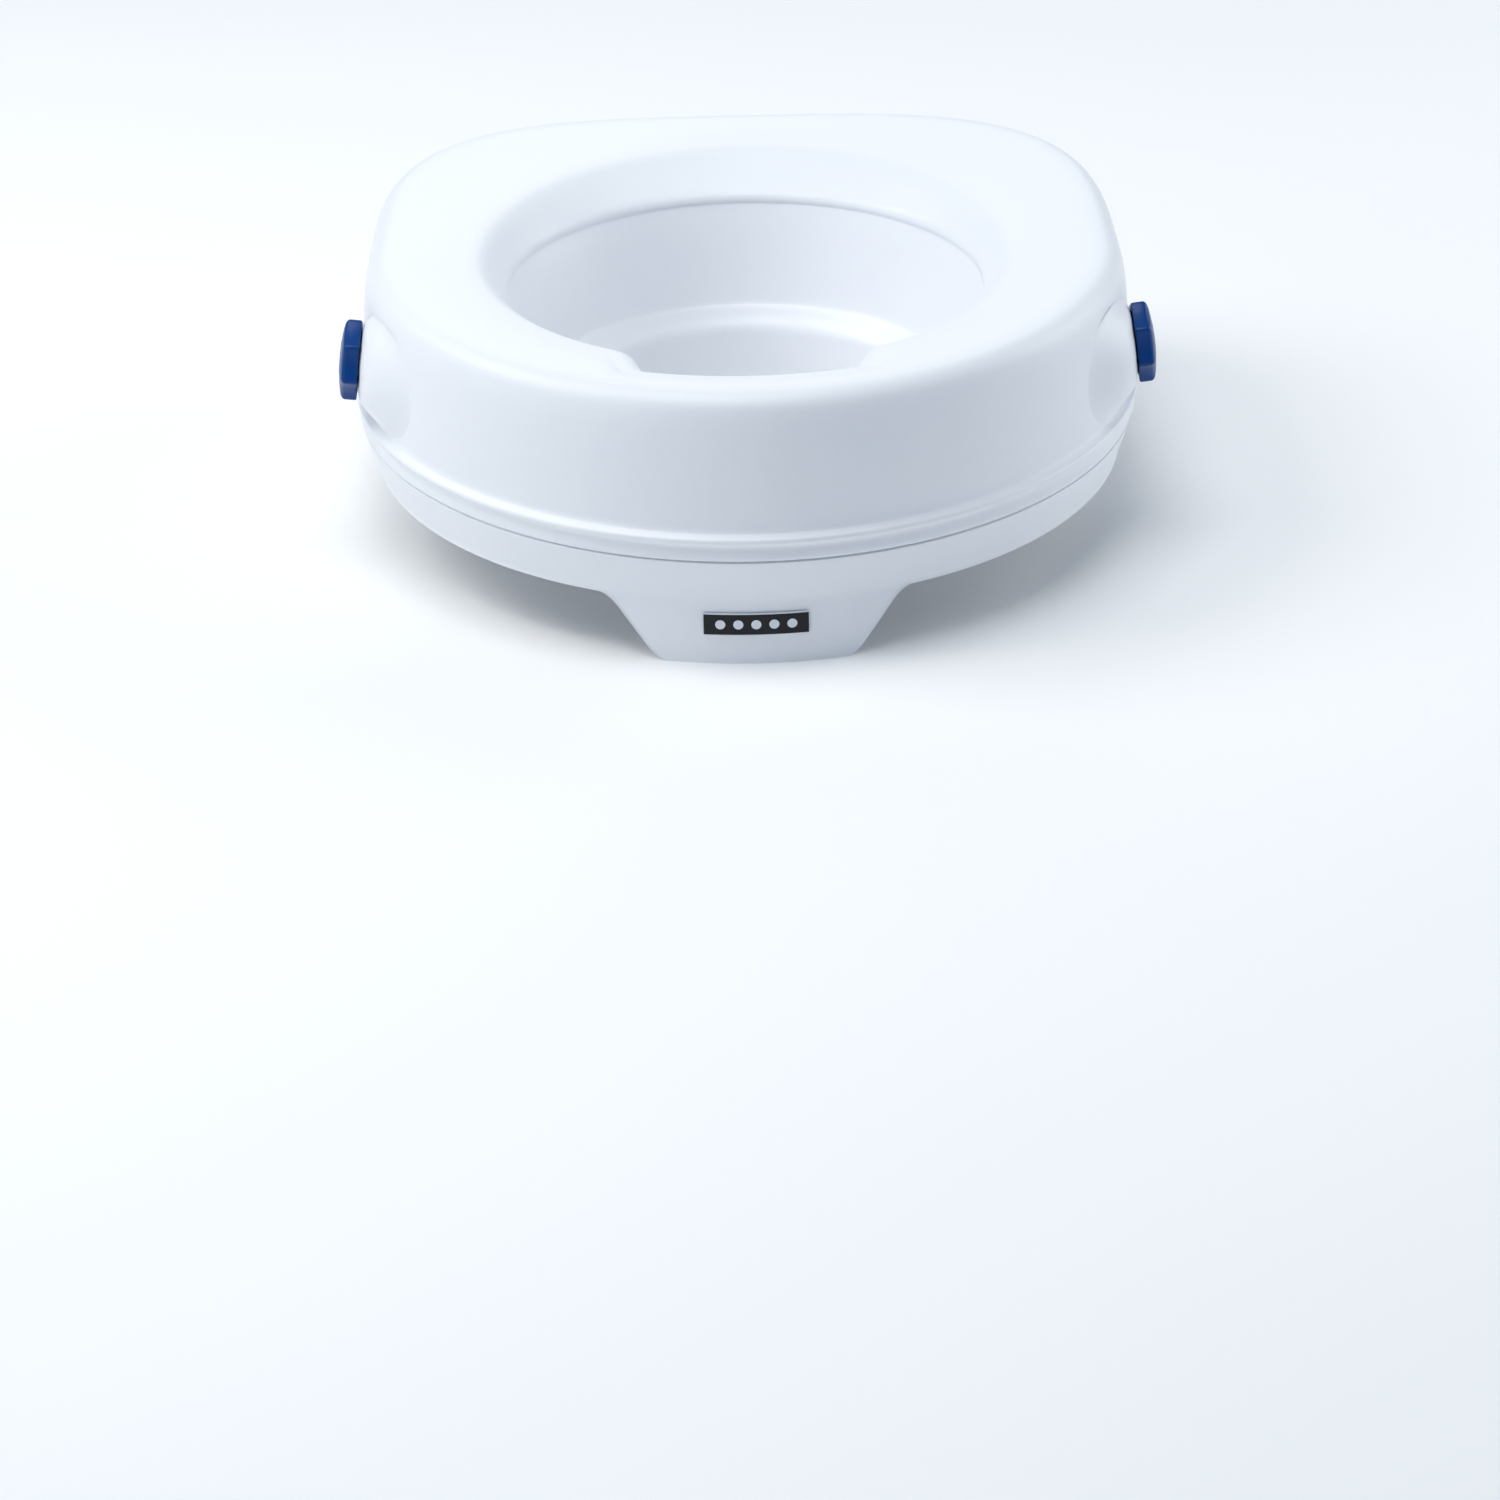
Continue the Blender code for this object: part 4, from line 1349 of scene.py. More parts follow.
@dataclass
class Underside:
    """The base plate with its screws, and the four rubber feet."""

    finishes: Finishes
    body: SeatBody
    inset: float = 0.0100
    hole_grow: float = 0.0070
    edge: float = 0.0005
    groove_depth: float = 0.0006
    groove_shares: tuple[float, float] = (0.30, 0.66)
    jaw_slot_x: tuple[float, float] = (0.1055, 0.1385)
    jaw_slot_half: float = 0.0135
    foot_places: tuple[tuple[float, float], ...] = ((35.0, 0.165), (140.0, 0.172))
    foot_radius: float = 0.0110
    screw: PanScrew = PanScrew(0.0036, 0.0022, 0.0130)

    def plate_stations(self) -> list[Station]:
        """The plate's closed section, with two shallow grooves underneath.

        Returns:
            Its stations in order.
        """
        edge, inset, grow = self.edge, self.inset, self.hole_grow
        low, high = PLATE_BOTTOM, PLATE_TOP
        rim = PLAN.ring(inset + edge, low)
        hole = LEDGE_BOTTOM.ring(low, grow + edge)
        underside = []
        for middle in self.groove_shares:
            underside += [
                mixed(hole, rim, middle - 0.035),
                mixed(hole, rim, middle - 0.025, self.groove_depth),
                mixed(hole, rim, middle + 0.025, self.groove_depth),
                mixed(hole, rim, middle + 0.035),
            ]
        return [
            rim, PLAN.ring(inset, low + edge), PLAN.ring(inset, high - edge),
            PLAN.ring(inset + edge, high), LEDGE_BOTTOM.ring(high, grow + edge),
            LEDGE_BOTTOM.ring(high - edge, grow), LEDGE_BOTTOM.ring(low + edge, grow), hole,
        ] + underside

    def build_plate(self) -> None:
        """The plate, with a slot for each jaw and a hole for each stud and screw."""
        plate = loft("bottom_plate", body_directions(), self.plate_stations(), ring=True)
        low, high = PLATE_BOTTOM - 0.002, PLATE_TOP + 0.002
        near, far = self.jaw_slot_x
        cutters = []
        for side in Side:
            ends = sorted((side.value * near, side.value * far))
            front, back = CLAMP_Y - self.jaw_slot_half, CLAMP_Y + self.jaw_slot_half
            slot = block("jaw_slot", (ends[0], front, low), (ends[1], back, high))
            apply_modifier(slot, "BEVEL", width=0.002, segments=3)
            cutters.append(slot)
        for direction, reach in self.body.screw_places():
            hole = rod("screw_hole", self.body.pilot_radius, low, high, 24)
            place = plan_point(direction, reach - self.body.screw_inset)
            cutters.append(set_down(hole, Matrix.Translation(place)))
        for place in self.foot_centres():
            cutters.append(set_down(rod("foot_hole", 0.0036, low, high), Matrix.Translation(place)))
        cut_out(plate, cutters)
        fit(plate, "seat", Slot.SEAT_WHITE, self.finishes.seat, "base_plate")

    def foot_centres(self) -> list[Vector]:
        """The middle of each foot's underside.

        Returns:
            The front right, front left, rear right and rear left one.
        """
        return [
            plan_point(side.value * math.radians(degrees), reach)
            for degrees, reach in self.foot_places for side in Side
        ]

    def build_feet(self) -> None:
        """The pull-in rubber feet, ringed underneath for grip."""
        radius = self.foot_radius
        tread = [(0.0, 0.0006), (0.0016, 0.0006), (0.0020, 0.0)]
        for ring in (0.0034, 0.0056, 0.0078):
            tread += [(ring, 0.0), (ring + 0.0003, 0.0007), (ring + 0.0009, 0.0007),
                      (ring + 0.0012, 0.0)]
        stem = [
            (0.0099, 0.0), (0.0107, 0.0005), (radius, 0.0014), (radius, 0.0066),
            (0.0107, 0.0075), (0.0098, 0.0080), (0.0034, 0.0080), (0.0031, 0.0083),
            (0.0031, 0.0114), (0.0035, 0.0117), (0.0045, 0.0118), (0.0046, 0.0123),
            (0.0040, 0.0132), (0.0028, 0.0139), (0.0014, 0.0140), (0.0, 0.0140),
        ]
        names = ("front_right", "front_left", "rear_right", "rear_left")
        first = loft("foot", even_directions(48), round_profile(*tread, *stem))
        for name, place in zip(names, self.foot_centres()):
            foot = repeat(first, f"rubber_{name}", Matrix.Translation(place))
            fit(foot, "seat", Slot.GREY_RUBBER, self.finishes.rubber, f"foot_{name}")
        bpy.data.objects.remove(first, do_unlink=True)

    def build_screws(self) -> None:
        """The six screws that hold the plate to the body's lugs."""
        first = self.screw.model("screw")
        for number, (direction, reach) in enumerate(self.body.screw_places(), start=1):
            height = PLATE_BOTTOM - FIT_GAP
            place = plan_point(direction, reach - self.body.screw_inset, height)
            turned = Matrix.Rotation(0.7 * number, 4, "Z")
            screw = repeat(first, f"plate_screw_{number}", Matrix.Translation(place) @ turned)
            fit(screw, "seat", Slot.BRIGHT_STEEL, self.finishes.steel, f"base_screw_{number}")
        bpy.data.objects.remove(first, do_unlink=True)

    def build(self) -> None:
        """Models every piece of the underside."""
        self.build_plate()
        self.build_feet()
        self.build_screws()


# --------------------------------------------------------------- front bracket

@dataclass
class FrontBracket:
    """The wrap-round band with its hanging tab, flange, plate and screws."""

    finishes: Finishes
    wall: float = 0.0030
    top: float = 0.0119
    bottom: float = -0.0115
    tab_bottom: float = -0.0440
    insets: tuple[float, float] = (0.0016, 0.0092)
    end: float = 88.0
    tab_half_widths: tuple[float, float] = (0.0420, 0.0755)
    corner_share: float = 0.22
    column_crowding: float = 0.38
    row_crowding: float = 1.7
    edge_flare: float = 0.0007
    edge_reach: float = 0.0026
    flange_z: tuple[float, float] = (0.0052, 0.0077)
    flange_half_width: float = 0.0450
    flange_rear: float = -0.1440
    screw_place: tuple[float, float] = (0.0280, -0.1740)
    travel: float = 0.0200
    slot_radius: float = 0.0023
    badge_half_width: float = BADGE_HALF_WIDTH
    badge_z: tuple[float, float] = BADGE_HEIGHTS
    badge_lift: float = 0.0004
    badge_thickness: float = 0.0008
    screw: PanScrew = PanScrew(0.0042, 0.0022, 0.0140)

    def ramp(self, share: float) -> float:
        """A rise from 0 to 1, straight in the middle and rounded at both ends.

        Args:
            share: How far across the ramp, from below 0 to above 1.

        Returns:
            The height, from 0 to 1.
        """
        soft = self.corner_share

        def hinge(value: float) -> float:
            """A level line that turns upwards round a soft corner at zero."""
            reach = min(max(value + soft, 0.0), 2 * soft)
            return reach * reach / (4 * soft) + max(value - soft, 0.0)

        return hinge(share) - hinge(share - 1.0)

    def lower_edge(self, direction: float) -> float:
        """Height of the band's lower edge, which drops to the tab in front.

        Args:
            direction: Angle from the front.

        Returns:
            The height.
        """
        x = abs(PLAN.radius(direction, self.insets[1]) * math.sin(direction))
        narrow, wide = self.tab_half_widths
        soft = self.corner_share
        share = (x - narrow) / (wide - narrow) * (1 + 2 * soft) - soft
        return self.tab_bottom + (self.bottom - self.tab_bottom) * self.ramp(share)

    def face_inset(self, height: float) -> float:
        """How far the outer face lies inside the body's outline."""
        share = min(1.0, (self.top - height) / (self.top - self.bottom))
        return self.insets[0] + (self.insets[1] - self.insets[0]) * share

    def band_direction(self, across: float) -> float:
        """The direction at a share along the band, closer together in front.

        Args:
            across: The share, from 0 at the left end to 1 at the right.

        Returns:
            The direction.
        """
        place = 2 * across - 1
        bent = (1 - self.column_crowding) * place + self.column_crowding * place**3
        return math.radians(self.end) * bent

    def build_band(self) -> None:
        """The band and tab in one moulding, with rounded edges."""

        def place(across: float, up: float) -> Vector:
            """A point of the outer face.

            Args:
                across: Its share along the band.
                up: Its share up the band.

            Returns:
                The point.
            """
            direction = self.band_direction(across)
            low = self.lower_edge(direction)
            height = low + (self.top - low) * up**self.row_crowding
            return plan_point(direction, PLAN.radius(direction, self.face_inset(height)), height)

        band = panel("front_band", 260, 26, place)
        middle = band.data.polygons[len(band.data.polygons) // 2]
        outwards = middle.normal.dot(middle.center) > 0
        apply_modifier(
            band, "SOLIDIFY", thickness=self.wall, offset=-1.0 if outwards else 1.0,
        )
        self.flare_edge(band)
        round_edges(band, 0.0005, 3)
        if not outwards:
            band.data.flip_normals()
        fit(band, "front_bracket", Slot.SEAT_WHITE, self.finishes.seat, "front_bracket")

    def flare_edge(self, band: bpy.types.Object) -> None:
        """Turns the outer face out a little along its lower edge.

        Args:
            band: The band with its thickness.
        """
        for point in band.data.vertices:
            direction = math.atan2(point.co.x, -point.co.y)
            reach = PLAN.radius(direction, self.face_inset(point.co.z))
            if point.co.xy.length > reach - self.wall / 2:
                height = point.co.z - self.lower_edge(direction)
                share = min(1.0, max(0.0, 1 - height / self.edge_reach))
                point.co += plan_point(direction, self.edge_flare * share**2)

    def slot_cutter(self, side: Side) -> bpy.types.Object:
        """The round-ended slot that a clamping screw slides in.

        Args:
            side: The screw's side.

        Returns:
            The cutter.
        """
        (x, front), (low, high) = self.screw_place, self.flange_z
        slot = rod("slot", self.slot_radius, low - 0.002, high + 0.002, 32)
        for point in slot.data.vertices:
            if point.co.y > 1e-6:
                point.co.y += self.travel + 0.0010
        return set_down(slot, Matrix.Translation((side.value * x, front - 0.0005, 0)))

    def build_flange(self) -> None:
        """The slotted flange under the body, its front edge run into the band."""
        low, high = self.flange_z
        front_inset = self.face_inset(low) + self.wall * 0.6

        def place(across: float, up: float) -> Vector:
            """A point of the underside.

            Args:
                across: Its share from left to right.
                up: Its share from the front to the rear.

            Returns:
                The point.
            """
            x = self.flange_half_width * (2 * across - 1)
            front = PLAN.front_y(x, front_inset)
            return Vector((x, self.flange_rear + (front - self.flange_rear) * (1 - up), low))

        flange = panel("slotted_flange", 36, 12, place)
        apply_modifier(flange, "SOLIDIFY", thickness=high - low, offset=1.0)
        if lowest_point(flange) < low - 1e-6:
            set_down(flange, Matrix.Translation((0, 0, high - low)))
        cut_out(flange, [self.slot_cutter(side) for side in Side])
        round_edges(flange, 0.0004)
        recalculate(flange)
        fit(flange, "front_bracket", Slot.SEAT_WHITE, self.finishes.seat, "front_bracket")

    def build_badge(self) -> None:
        """A plain plate, curved to lie on the tab."""
        reach = math.asin(self.badge_half_width / PLAN.front_depth)
        low, high = self.badge_z
        inset = self.insets[1] - self.badge_lift - self.badge_thickness

        def place(across: float, up: float) -> Vector:
            """A point of the front face, at its shares across and up."""
            direction = reach * (2 * across - 1)
            return plan_point(direction, PLAN.radius(direction, inset), low + (high - low) * up)

        badge = panel("plain_plate", 48, 8, place)
        front = badge.data.polygons[0].normal.y < 0
        apply_modifier(
            badge, "SOLIDIFY", thickness=self.badge_thickness, offset=-1.0 if front else 1.0,
        )
        round_edges(badge, 0.0002)
        recalculate(badge)
        fit(badge, "front_bracket", Slot.BADGE_DARK, self.finishes.plate, "badge_plate")

    def build_fixings(self) -> None:
        """The two screws and washers that clamp the flange."""
        under = self.flange_z[0] - FIT_GAP
        thickness, bore, rim = 0.0009, 0.0024, 0.0065
        low, chamfer = under - thickness, 0.0002
        profile = round_profile(
            (bore, low + chamfer), (bore + chamfer, low), (rim - chamfer, low),
            (rim, low + chamfer), (rim, under - chamfer), (rim - chamfer, under),
            (bore + chamfer, under), (bore, under - chamfer),
        )
        washer = loft("washer", even_directions(48), profile, ring=True)
        screw = self.screw.model("screw")
        for side in Side:
            place = Vector((side.value * self.screw_place[0], self.screw_place[1], 0))
            ring = repeat(washer, f"{side.label}_washer", Matrix.Translation(place))
            fit(ring, "seat", Slot.BRIGHT_STEEL, self.finishes.steel,
                f"bracket_washer_{side.label}")
            place.z = low - FIT_GAP
            turned = Matrix.Rotation(0.5 * side.value, 4, "Z")
            bolt = repeat(screw, f"{side.label}_flange_screw", Matrix.Translation(place) @ turned)
            fit(bolt, "seat", Slot.BRIGHT_STEEL, self.finishes.steel,
                f"bracket_screw_{side.label}")
        for spare in (washer, screw):
            bpy.data.objects.remove(spare, do_unlink=True)

    def build(self) -> None:
        """Models every piece of the bracket."""
        self.build_band()
        self.build_flange()
        self.build_badge()
        self.build_fixings()


# ------------------------------------------------------------------ side clamps

@dataclass
class SideClamp:
    """A hand knob, its threaded spindle and the jaw that it draws outwards."""

    finishes: Finishes
    side: Side
    knob_radius: float = 0.0210
    scallops: int = 7
    points_per_scallop: int = 24
    scallop_depth: float = 0.0029
    scallop_power: float = 2.2
    ridge_share: float = 0.94
    ridge_blunting: float = 0.00035
    ridge_angle: float = math.radians(38.0)
    knob_span: tuple[float, float] = (0.0051, 0.0149)
    journal_radius: float = 0.0050
    thread_radius: float = 0.0040
    thread_pitch: float = 0.0030
    spindle_span: tuple[float, float] = (-0.0620, 0.0128)
    bush_radius: float = BUSH_RADIUS
    bush_flange_radius: float = 0.0095
    boss_span: tuple[float, float] = BOSS_SPAN
    jaw_half_width: float = 0.0120
    jaw_leg_x: tuple[float, float] = (0.1130, 0.1190)
    jaw_plate_x: tuple[float, float] = (0.1400, 0.1480)
    jaw_web_z: tuple[float, float] = (0.0128, 0.0170)
    jaw_top: float = 0.0660
    jaw_bottom: float = -0.0440
    nut_across_flats: float = 0.0130
    nut_height: float = 0.0065

    @property
    def frame(self) -> Matrix:
        """The clamp's own frame."""
        return clamp_frame(self.side)

    @property
    def ridge(self) -> float:
        """The direction of the knob's first ridge in the clamp's frame."""
        angle, sign = self.ridge_angle, self.side.value
        return math.atan2(-math.cos(angle), -sign * math.sin(angle)) + math.pi / 2

    def name(self, piece: str) -> str:
        """A piece's name with the side in front."""
        return f"{self.side.label}_{piece}"

    def knob_section(self, scale: float, height: float, soften: float = 0.0) -> Station:
        """A scalloped level of the knob.

        Args:
            scale: Its size, as a share of the knob's.
            height: Its place along the axis.
            soften: How far the scallops fade, from 0 to 1.

        Returns:
            The station.
        """
        ridge = self.ridge

        def station(direction: float) -> Vector:
            """The knob's edge in one direction.

            Args:
                direction: Angle round the axis.

            Returns:
                Its radius and height.
            """
            across = 2 * (((direction - ridge) / math.tau * self.scallops) % 1.0) - 1
            dip = self.scallop_depth * (1 - abs(across) ** self.scallop_power)
            past = max(0.0, (abs(across) - self.ridge_share) / (1 - self.ridge_share))
            blunt = self.ridge_blunting * past
            radius = self.knob_radius - dip * (1 - soften) - blunt
            return Vector((radius * scale, height))

        return station

    def build_knob(self) -> None:
        """The scalloped hand knob: crisp ridges, a domed face and a centre cap."""
        low, high = self.knob_span
        section = self.knob_section
        bore = self.thread_radius + FIT_GAP
        stations = [
            level(0, high - 0.0018), level(bore, high - 0.0018), level(bore, low + 0.0003),
            level(bore + 0.0003, low), level(0.0078, low), level(0.0082, low + 0.0003),
            level(0.0086, low + 0.0030), level(0.0094, low + 0.0034),
            section(0.80, low + 0.0034), section(0.845, low + 0.0031), section(0.86, low + 0.0004),
            section(0.88, low), section(0.97, low), section(0.99, low + 0.0003),
            section(1.0, low + 0.0010), section(1.0, low + 0.0040), section(1.0, high - 0.0038),
            section(0.988, high - 0.0031), section(0.955, high - 0.0024),
            section(0.90, high - 0.0018, 0.1), section(0.76, high - 0.0011, 0.4),
            section(0.60, high - 0.0006, 0.8), level(0.0098, high - 0.0003),
            level(0.0094, high - 0.0006), level(0.0088, high - 0.0006),
            level(0.0084, high - 0.0001), level(0.0050, high), level(0, high),
        ]
        count = self.scallops * self.points_per_scallop
        directions = [self.ridge + math.tau / count * i for i in range(count)]
        knob = set_down(loft(self.name("hand_knob"), directions, stations), self.frame)
        body, node = self.name("knob"), self.name("knob")
        fit(knob, body, Slot.KNOB_BLUE, self.finishes.knob, node, smooth=28)

    def build_spindle(self) -> None:
        """The spindle: a collar that turns in the bush and a long thread."""
        (inner, outer), thread, journal = self.spindle_span, self.thread_radius, self.journal_radius
        inside, outside = -0.0095, self.knob_span[0] - FIT_GAP
        groove = self.boss_span[0] - 2 * FIT_GAP
        stations = round_profile((0, inner), (0.0027, inner), (0.0031, inner + 0.0006))
        stations += threaded(thread, 0.0008, self.thread_pitch, inner + 0.0010, inside - 0.0010)
        stations += round_profile(
            (thread - 0.0008, inside), (journal - 0.0004, inside), (journal, inside + 0.0004),
            (journal, groove - 0.0014), (journal, outside - 0.0003), (journal - 0.0003, outside),
            (thread, outside), (thread, outer - 0.0006), (thread - 0.0006, outer), (0, outer),
        )
        spindle = loft(self.name("screw_spindle"), even_directions(40), stations)
        set_down(spindle, self.frame)
        body = self.name("knob")
        fit(spindle, body, Slot.BRIGHT_STEEL, self.finishes.steel, self.name("spindle"))

    def build_clip(self) -> None:
        """The open retaining ring, with an eye at each end."""
        inner, outer, eye = self.journal_radius + FIT_GAP, 0.0080, 0.0088
        behind, thickness = self.boss_span[0] - 2 * FIT_GAP, 0.0013
        mouth, eye_share = 60.0, 0.09

        def place(across: float, up: float) -> Vector:
            """A point of the ring's flat side.

            Args:
                across: Its share round the ring.
                up: Its share from the inner edge to the outer one.

            Returns:
                The point.
            """
            angle = math.radians(mouth / 2 + (360 - mouth) * across)
            end = max(0.0, 1 - min(across, 1 - across) / eye_share)
            radius = inner + (outer + (eye - outer) * end**0.5 - inner) * up
            return Vector((radius * math.cos(angle), radius * math.sin(angle), behind))

        clip = panel(self.name("retaining_ring"), 60, 4, place)
        apply_modifier(clip, "SOLIDIFY", thickness=thickness, offset=-1.0)
        if lowest_point(clip) > behind - 1e-6:
            set_down(clip, Matrix.Translation((0, 0, -thickness)))
        round_edges(clip, 0.0002)
        recalculate(clip)
        set_down(clip, self.frame)
        body = self.name("knob")
        fit(clip, body, Slot.BRIGHT_STEEL, self.finishes.steel, self.name("spindle_clip"))

    def build_bush(self) -> None:
        """The flanged bush in the wall."""
        bore, inner = self.journal_radius + FIT_GAP, self.boss_span[0] - FIT_GAP
        face, chamfer = self.boss_span[1] + FIT_GAP, 0.0003
        flange, barrel = self.bush_flange_radius, self.bush_radius
        profile = round_profile(
            (bore, inner + chamfer), (bore + chamfer, inner), (barrel - 0.0006, inner),
            (barrel, inner + 0.0010), (barrel, face), (flange - chamfer, face),
            (flange, face + chamfer), (flange, face + 0.0012 - chamfer),
            (flange - chamfer, face + 0.0012), (bore + chamfer, face + 0.0012),
            (bore, face + 0.0012 - chamfer),
        )
        bush = loft(self.name("flanged_bush"), even_directions(56), profile, ring=True)
        set_down(bush, self.frame)
        fit(bush, "seat", Slot.BUSH_NYLON, self.finishes.nylon, self.name("wall_bush"))

    def nut_seat(self) -> float:
        """Distance from the wall to the floor of the nut's pocket in the jaw."""
        wall_x = abs(self.frame.translation.x)
        return -(wall_x - self.jaw_plate_x[1] + 0.004) / math.cos(CLAMP_TILT)

    def hexagon(self, radius: float, height: float, grow: float = 0.0) -> Station:
        """A hexagonal level, its corners cut back to a radius.

        Args:
            radius: The radius that no corner passes.
            height: Its place along the axis.
            grow: How far each flat is moved outwards.

        Returns:
            The station.
        """
        flat = self.nut_across_flats / 2 + grow

        def station(direction: float) -> Vector:
            """The hexagon's edge in one direction."""
            off = direction % (math.pi / 3) - math.pi / 6
            return Vector((min(flat / math.cos(off), radius), height))

        return station

    def build_jaw(self) -> None:
        """The cranked jaw, extruded from its leg and ribbed behind its plate."""
        sign, half = self.side.value, self.jaw_half_width
        (leg_in, leg_out), (plate_in, plate_out) = self.jaw_leg_x, self.jaw_plate_x
        web_low, web_high = self.jaw_web_z
        jaw = block(self.name("cranked_jaw"), (leg_in, -half, self.jaw_bottom),
                    (leg_out, half, web_low))
        take_up(jaw)
        bpy.ops.object.mode_set(mode="EDIT")
        push_face(jaw, (0, 0, 1), web_high - web_low)
        push_face(jaw, (1, 0, 0), plate_in - leg_out, above=web_low)
        push_face(jaw, (1, 0, 0), plate_out - plate_in, above=web_low)
        self.raise_plate(jaw, plate_in, self.jaw_top - web_high)
        finish_editing(jaw)
        round_edges(jaw, 0.0012, 3)
        set_down(jaw, Matrix.Translation((0, CLAMP_Y, 0)))
        if sign < 0:
            jaw.data.transform(Matrix.Diagonal((-1, 1, 1, 1)))
            jaw.data.flip_normals()
        seat = self.nut_seat()
        bore = rod("bore", self.thread_radius + 0.0006, seat - 0.012, seat - 0.0005)
        full, mouth = self.nut_across_flats, seat + 0.010
        pocket = loft("pocket", even_directions(72), [
            level(0, seat), self.hexagon(full, seat, FIT_GAP),
            self.hexagon(full, mouth, FIT_GAP), level(0, mouth),
        ])
        for cutter in (bore, pocket):
            set_down(cutter, self.frame)
            cut_out(jaw, [cutter])
        recalculate(jaw)
        fit(jaw, self.name("jaw"), Slot.SEAT_WHITE, self.finishes.seat, self.name("jaw"))
        self.build_ribs()

    @staticmethod
    def raise_plate(jaw: bpy.types.Object, plate_in: float, height: float) -> None:
        """Extrudes the top of the jaw's end upwards into its plate.

        Args:
            jaw: The jaw in edit mode.
            plate_in: Where the plate starts across the body.
            height: How far it rises.
        """
        bpy.ops.mesh.select_all(action="DESELECT")
        shape = bmesh.from_edit_mesh(jaw.data)
        for face in shape.faces:
            middle = face.calc_center_median()
            face.select_set(face.normal.z > 0.9 and middle.x > plate_in)
        bmesh.update_edit_mesh(jaw.data)
        move = {"value": (0, 0, height)}
        bpy.ops.mesh.extrude_region_move(TRANSFORM_OT_translate=move)

    def build_ribs(self) -> None:
        """Two gussets that brace the jaw's plate on its web."""
        plate_in, web_high, sign = self.jaw_plate_x[0], self.jaw_web_z[1], self.side.value
        half, sunk, run, rise = 0.0011, 0.0006, 0.0100, 0.0140
        for number, y in enumerate((-0.0088, 0.0088), start=1):
            rib = block(
                self.name(f"jaw_rib_{number}"), (plate_in - run, y - half, web_high - sunk),
                (plate_in + sunk, y + half, web_high + rise),
            )
            for point in rib.data.vertices:
                if point.co.z > web_high and point.co.x < plate_in:
                    point.co.x = plate_in - 0.0016
            round_edges(rib, 0.0005)
            set_down(rib, Matrix.Translation((0, CLAMP_Y, 0)))
            if sign < 0:
                rib.data.transform(Matrix.Diagonal((-1, 1, 1, 1)))
                rib.data.flip_normals()
            fit(rib, self.name("jaw"), Slot.SEAT_WHITE, self.finishes.seat, self.name("jaw"))

    def build_nut(self) -> None:
        """The captive nut, chamfered at its corners."""
        low = self.nut_seat() + FIT_GAP
        high, bore = low + self.nut_height, self.thread_radius + FIT_GAP
        washer_face = self.nut_across_flats / 2 - 0.0001
        full = self.nut_across_flats
        profile = [
            level(bore, low + 0.0004), level(bore + 0.0004, low), level(washer_face, low),
            self.hexagon(full, low + 0.0005), self.hexagon(full, high - 0.0005),
            level(washer_face, high), level(bore + 0.0004, high), level(bore, high - 0.0004),
        ]
        nut = loft(self.name("hexagon_nut"), even_directions(72), profile, ring=True)
        set_down(nut, self.frame)
        fit(nut, self.name("jaw"), Slot.BRIGHT_STEEL, self.finishes.steel, self.name("jaw_nut"))

    def build_pad(self) -> None:
        """The rubber face, ribbed across."""
        sign, half = self.side.value, self.jaw_half_width - 0.001
        inner, outer = self.jaw_leg_x[1] + FIT_GAP, self.jaw_leg_x[1] + 0.0062
        low, high, rib = self.jaw_bottom + 0.002, -0.006, 0.0007
        waves, margin = 9, 0.0011

        def place(across: float, up: float) -> Vector:
            """A point of the ribbed face.

            Args:
                across: Its share from front to rear.
                up: Its share up the face.

            Returns:
                The point.
            """
            edge = min(min(across, 1 - across) * 2 * half, min(up, 1 - up) * (high - low))
            wave = 0.5 + 0.5 * math.cos(math.tau * waves * up)
            depth = outer - (rib * wave if edge > margin else rib)
            y, z = CLAMP_Y + half * (2 * across - 1), low + (high - low) * up
            return Vector((sign * depth, y, z))

        pad = panel(self.name("ribbed_pad"), 20, 110, place)
        bpy.ops.object.mode_set(mode="EDIT")
        bpy.ops.mesh.select_mode(type="VERT")
        bpy.ops.mesh.select_all(action="DESELECT")
        bpy.ops.mesh.select_non_manifold()
        back = {"value": (-sign * (outer - rib - inner), 0, 0)}
        bpy.ops.mesh.extrude_region_move(TRANSFORM_OT_translate=back)
        bpy.ops.mesh.edge_face_add()
        finish_editing(pad)
        round_edges(pad, 0.0007)
        fit(pad, self.name("jaw"), Slot.GREY_RUBBER, self.finishes.rubber, self.name("jaw_pad"))

    def build(self) -> None:
        """Models every piece of the clamp."""
        self.build_knob()
        self.build_spindle()
        self.build_clip()
        self.build_bush()
        self.build_jaw()
        self.build_nut()
        self.build_pad()


# ----------------------------------------------------------------------- studio

@dataclass(frozen=True)
class SoftBox:
    """A square soft light that looks at the seat."""

    name: str
    place: tuple[float, float, float]
    size: float
    power: float
    colour: Colour = (1.0, 0.99, 0.965)

    def hang(self) -> None:
        """Adds the light to the scene."""
        light = bpy.data.lights.new(self.name, "AREA")
        light.shape, light.size = "SQUARE", self.size
        light.energy, light.color = self.power, self.colour
        lamp = bpy.data.objects.new(self.name, light)
        bpy.context.scene.collection.objects.link(lamp)
        lamp.location = self.place
        lamp.rotation_euler = (-Vector(self.place)).to_track_quat("-Z", "Y").to_euler()


SOFT_BOXES = (
    SoftBox("top_front", (-0.3, -0.4, 2.3), 1.4, 25.0),
    SoftBox("left_high", (-1.6, 0.0, 1.6), 1.2, 22.0),
    SoftBox("right_side", (2.0, 0.6, 0.7), 1.4, 19.0),
    SoftBox("left_front", (-1.6, -1.3, 0.9), 1.0, 3.5),
    SoftBox("rear_rim", (0.0, 2.3, 1.4), 1.8, 11.0),
)


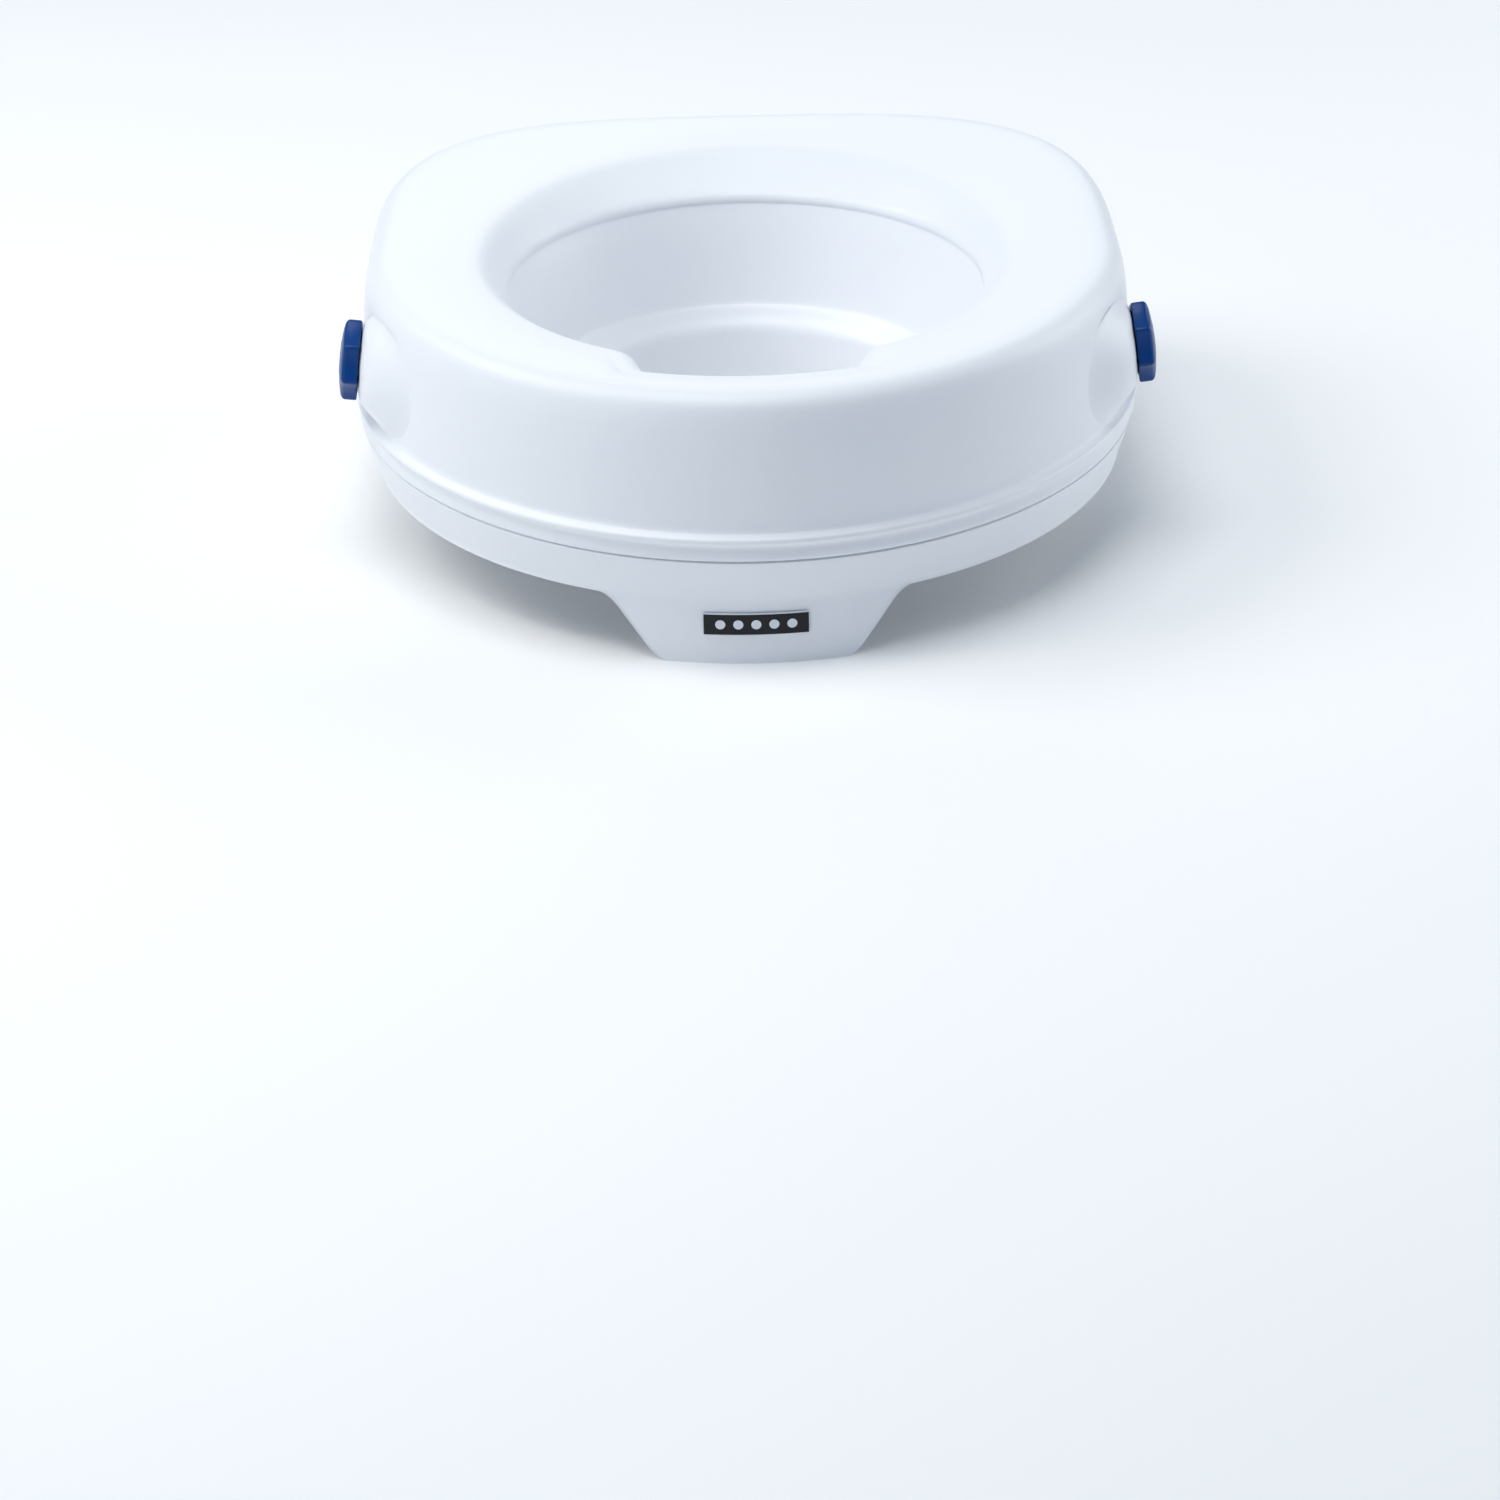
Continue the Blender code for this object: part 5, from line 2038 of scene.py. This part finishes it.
@dataclass
class Studio:
    """The floor, the soft lights and the camera."""

    finishes: Finishes
    floor_z: float
    eye: tuple[float, float, float] = (-0.0243, -2.0258, 0.8709)
    heading: float = math.radians(-0.634)
    dip: float = math.radians(27.813)
    roll: float = math.radians(-1.072)
    lens: float = 102.2
    floor_radius: float = 1.9
    fill_colour: tuple[float, ...] = (0.52, 0.74, 1.0, 1.0)
    fill_strength: float = 0.27
    backdrop_colour: tuple[float, ...] = (0.88, 0.91, 0.95, 1.0)

    def build_floor(self) -> None:
        """A round pale floor at the object's lowest point."""
        rings = [level(self.floor_radius * share, self.floor_z) for share in (0, 0.3, 0.7, 1)]
        floor = loft("studio_floor", even_directions(96), rings)
        if floor.data.polygons[0].normal.z < 0:
            floor.data.flip_normals()
        floor.data.materials.append(self.finishes.floor)
        floor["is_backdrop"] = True

    def build_air(self) -> None:
        """A cool fill from all round, which the camera sees as a pale backdrop."""
        world = bpy.data.worlds.new("studio_air")
        world.use_nodes = True
        tree = world.node_tree
        fill = tree.nodes["Background"]
        fill.inputs["Color"].default_value = self.fill_colour
        fill.inputs["Strength"].default_value = self.fill_strength
        backdrop = tree.nodes.new("ShaderNodeBackground")
        backdrop.inputs["Color"].default_value = self.backdrop_colour
        path = tree.nodes.new("ShaderNodeLightPath")
        blend = tree.nodes.new("ShaderNodeMixShader")
        tree.links.new(path.outputs["Is Camera Ray"], blend.inputs[0])
        tree.links.new(fill.outputs[0], blend.inputs[1])
        tree.links.new(backdrop.outputs[0], blend.inputs[2])
        tree.links.new(blend.outputs[0], tree.nodes["World Output"].inputs["Surface"])
        bpy.context.scene.world = world

    def build_camera(self) -> None:
        """A long lens in front, looking down at the seat."""
        forward = Vector((
            -math.sin(self.heading) * math.cos(self.dip),
            math.cos(self.heading) * math.cos(self.dip),
            -math.sin(self.dip),
        ))
        level_right = Vector((math.cos(self.heading), math.sin(self.heading), 0.0))
        level_up = level_right.cross(forward)
        right = level_right * math.cos(self.roll) + level_up * math.sin(self.roll)
        up = level_up * math.cos(self.roll) - level_right * math.sin(self.roll)
        data = bpy.data.cameras.new("studio_camera")
        data.lens, data.sensor_width, data.clip_end = self.lens, 36.0, 50.0
        camera = bpy.data.objects.new("studio_camera", data)
        bpy.context.scene.collection.objects.link(camera)
        turn = Matrix((right, up, -forward)).transposed().to_4x4()
        camera.matrix_world = Matrix.Translation(self.eye) @ turn
        bpy.context.scene.camera = camera
        bpy.context.scene.view_settings.view_transform = "Standard"

    def build(self) -> None:
        """Sets up the whole studio."""
        self.build_floor()
        for soft_box in SOFT_BOXES:
            soft_box.hang()
        self.build_air()
        self.build_camera()


def main() -> None:
    """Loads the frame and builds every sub-assembly."""
    logging.basicConfig(level=logging.INFO, format="%(name)s: %(message)s")
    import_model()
    cad_box = [list(corner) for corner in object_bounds()]
    finishes = Finishes()
    body = SeatBody(finishes)
    body.build()
    SplashGuard(finishes).build()
    Underside(finishes, body).build()
    FrontBracket(finishes).build()
    for side in Side:
        SideClamp(finishes, side).build()
    Studio(finishes, cad_box[0][2]).build()


if __name__ == "__main__":
    main()
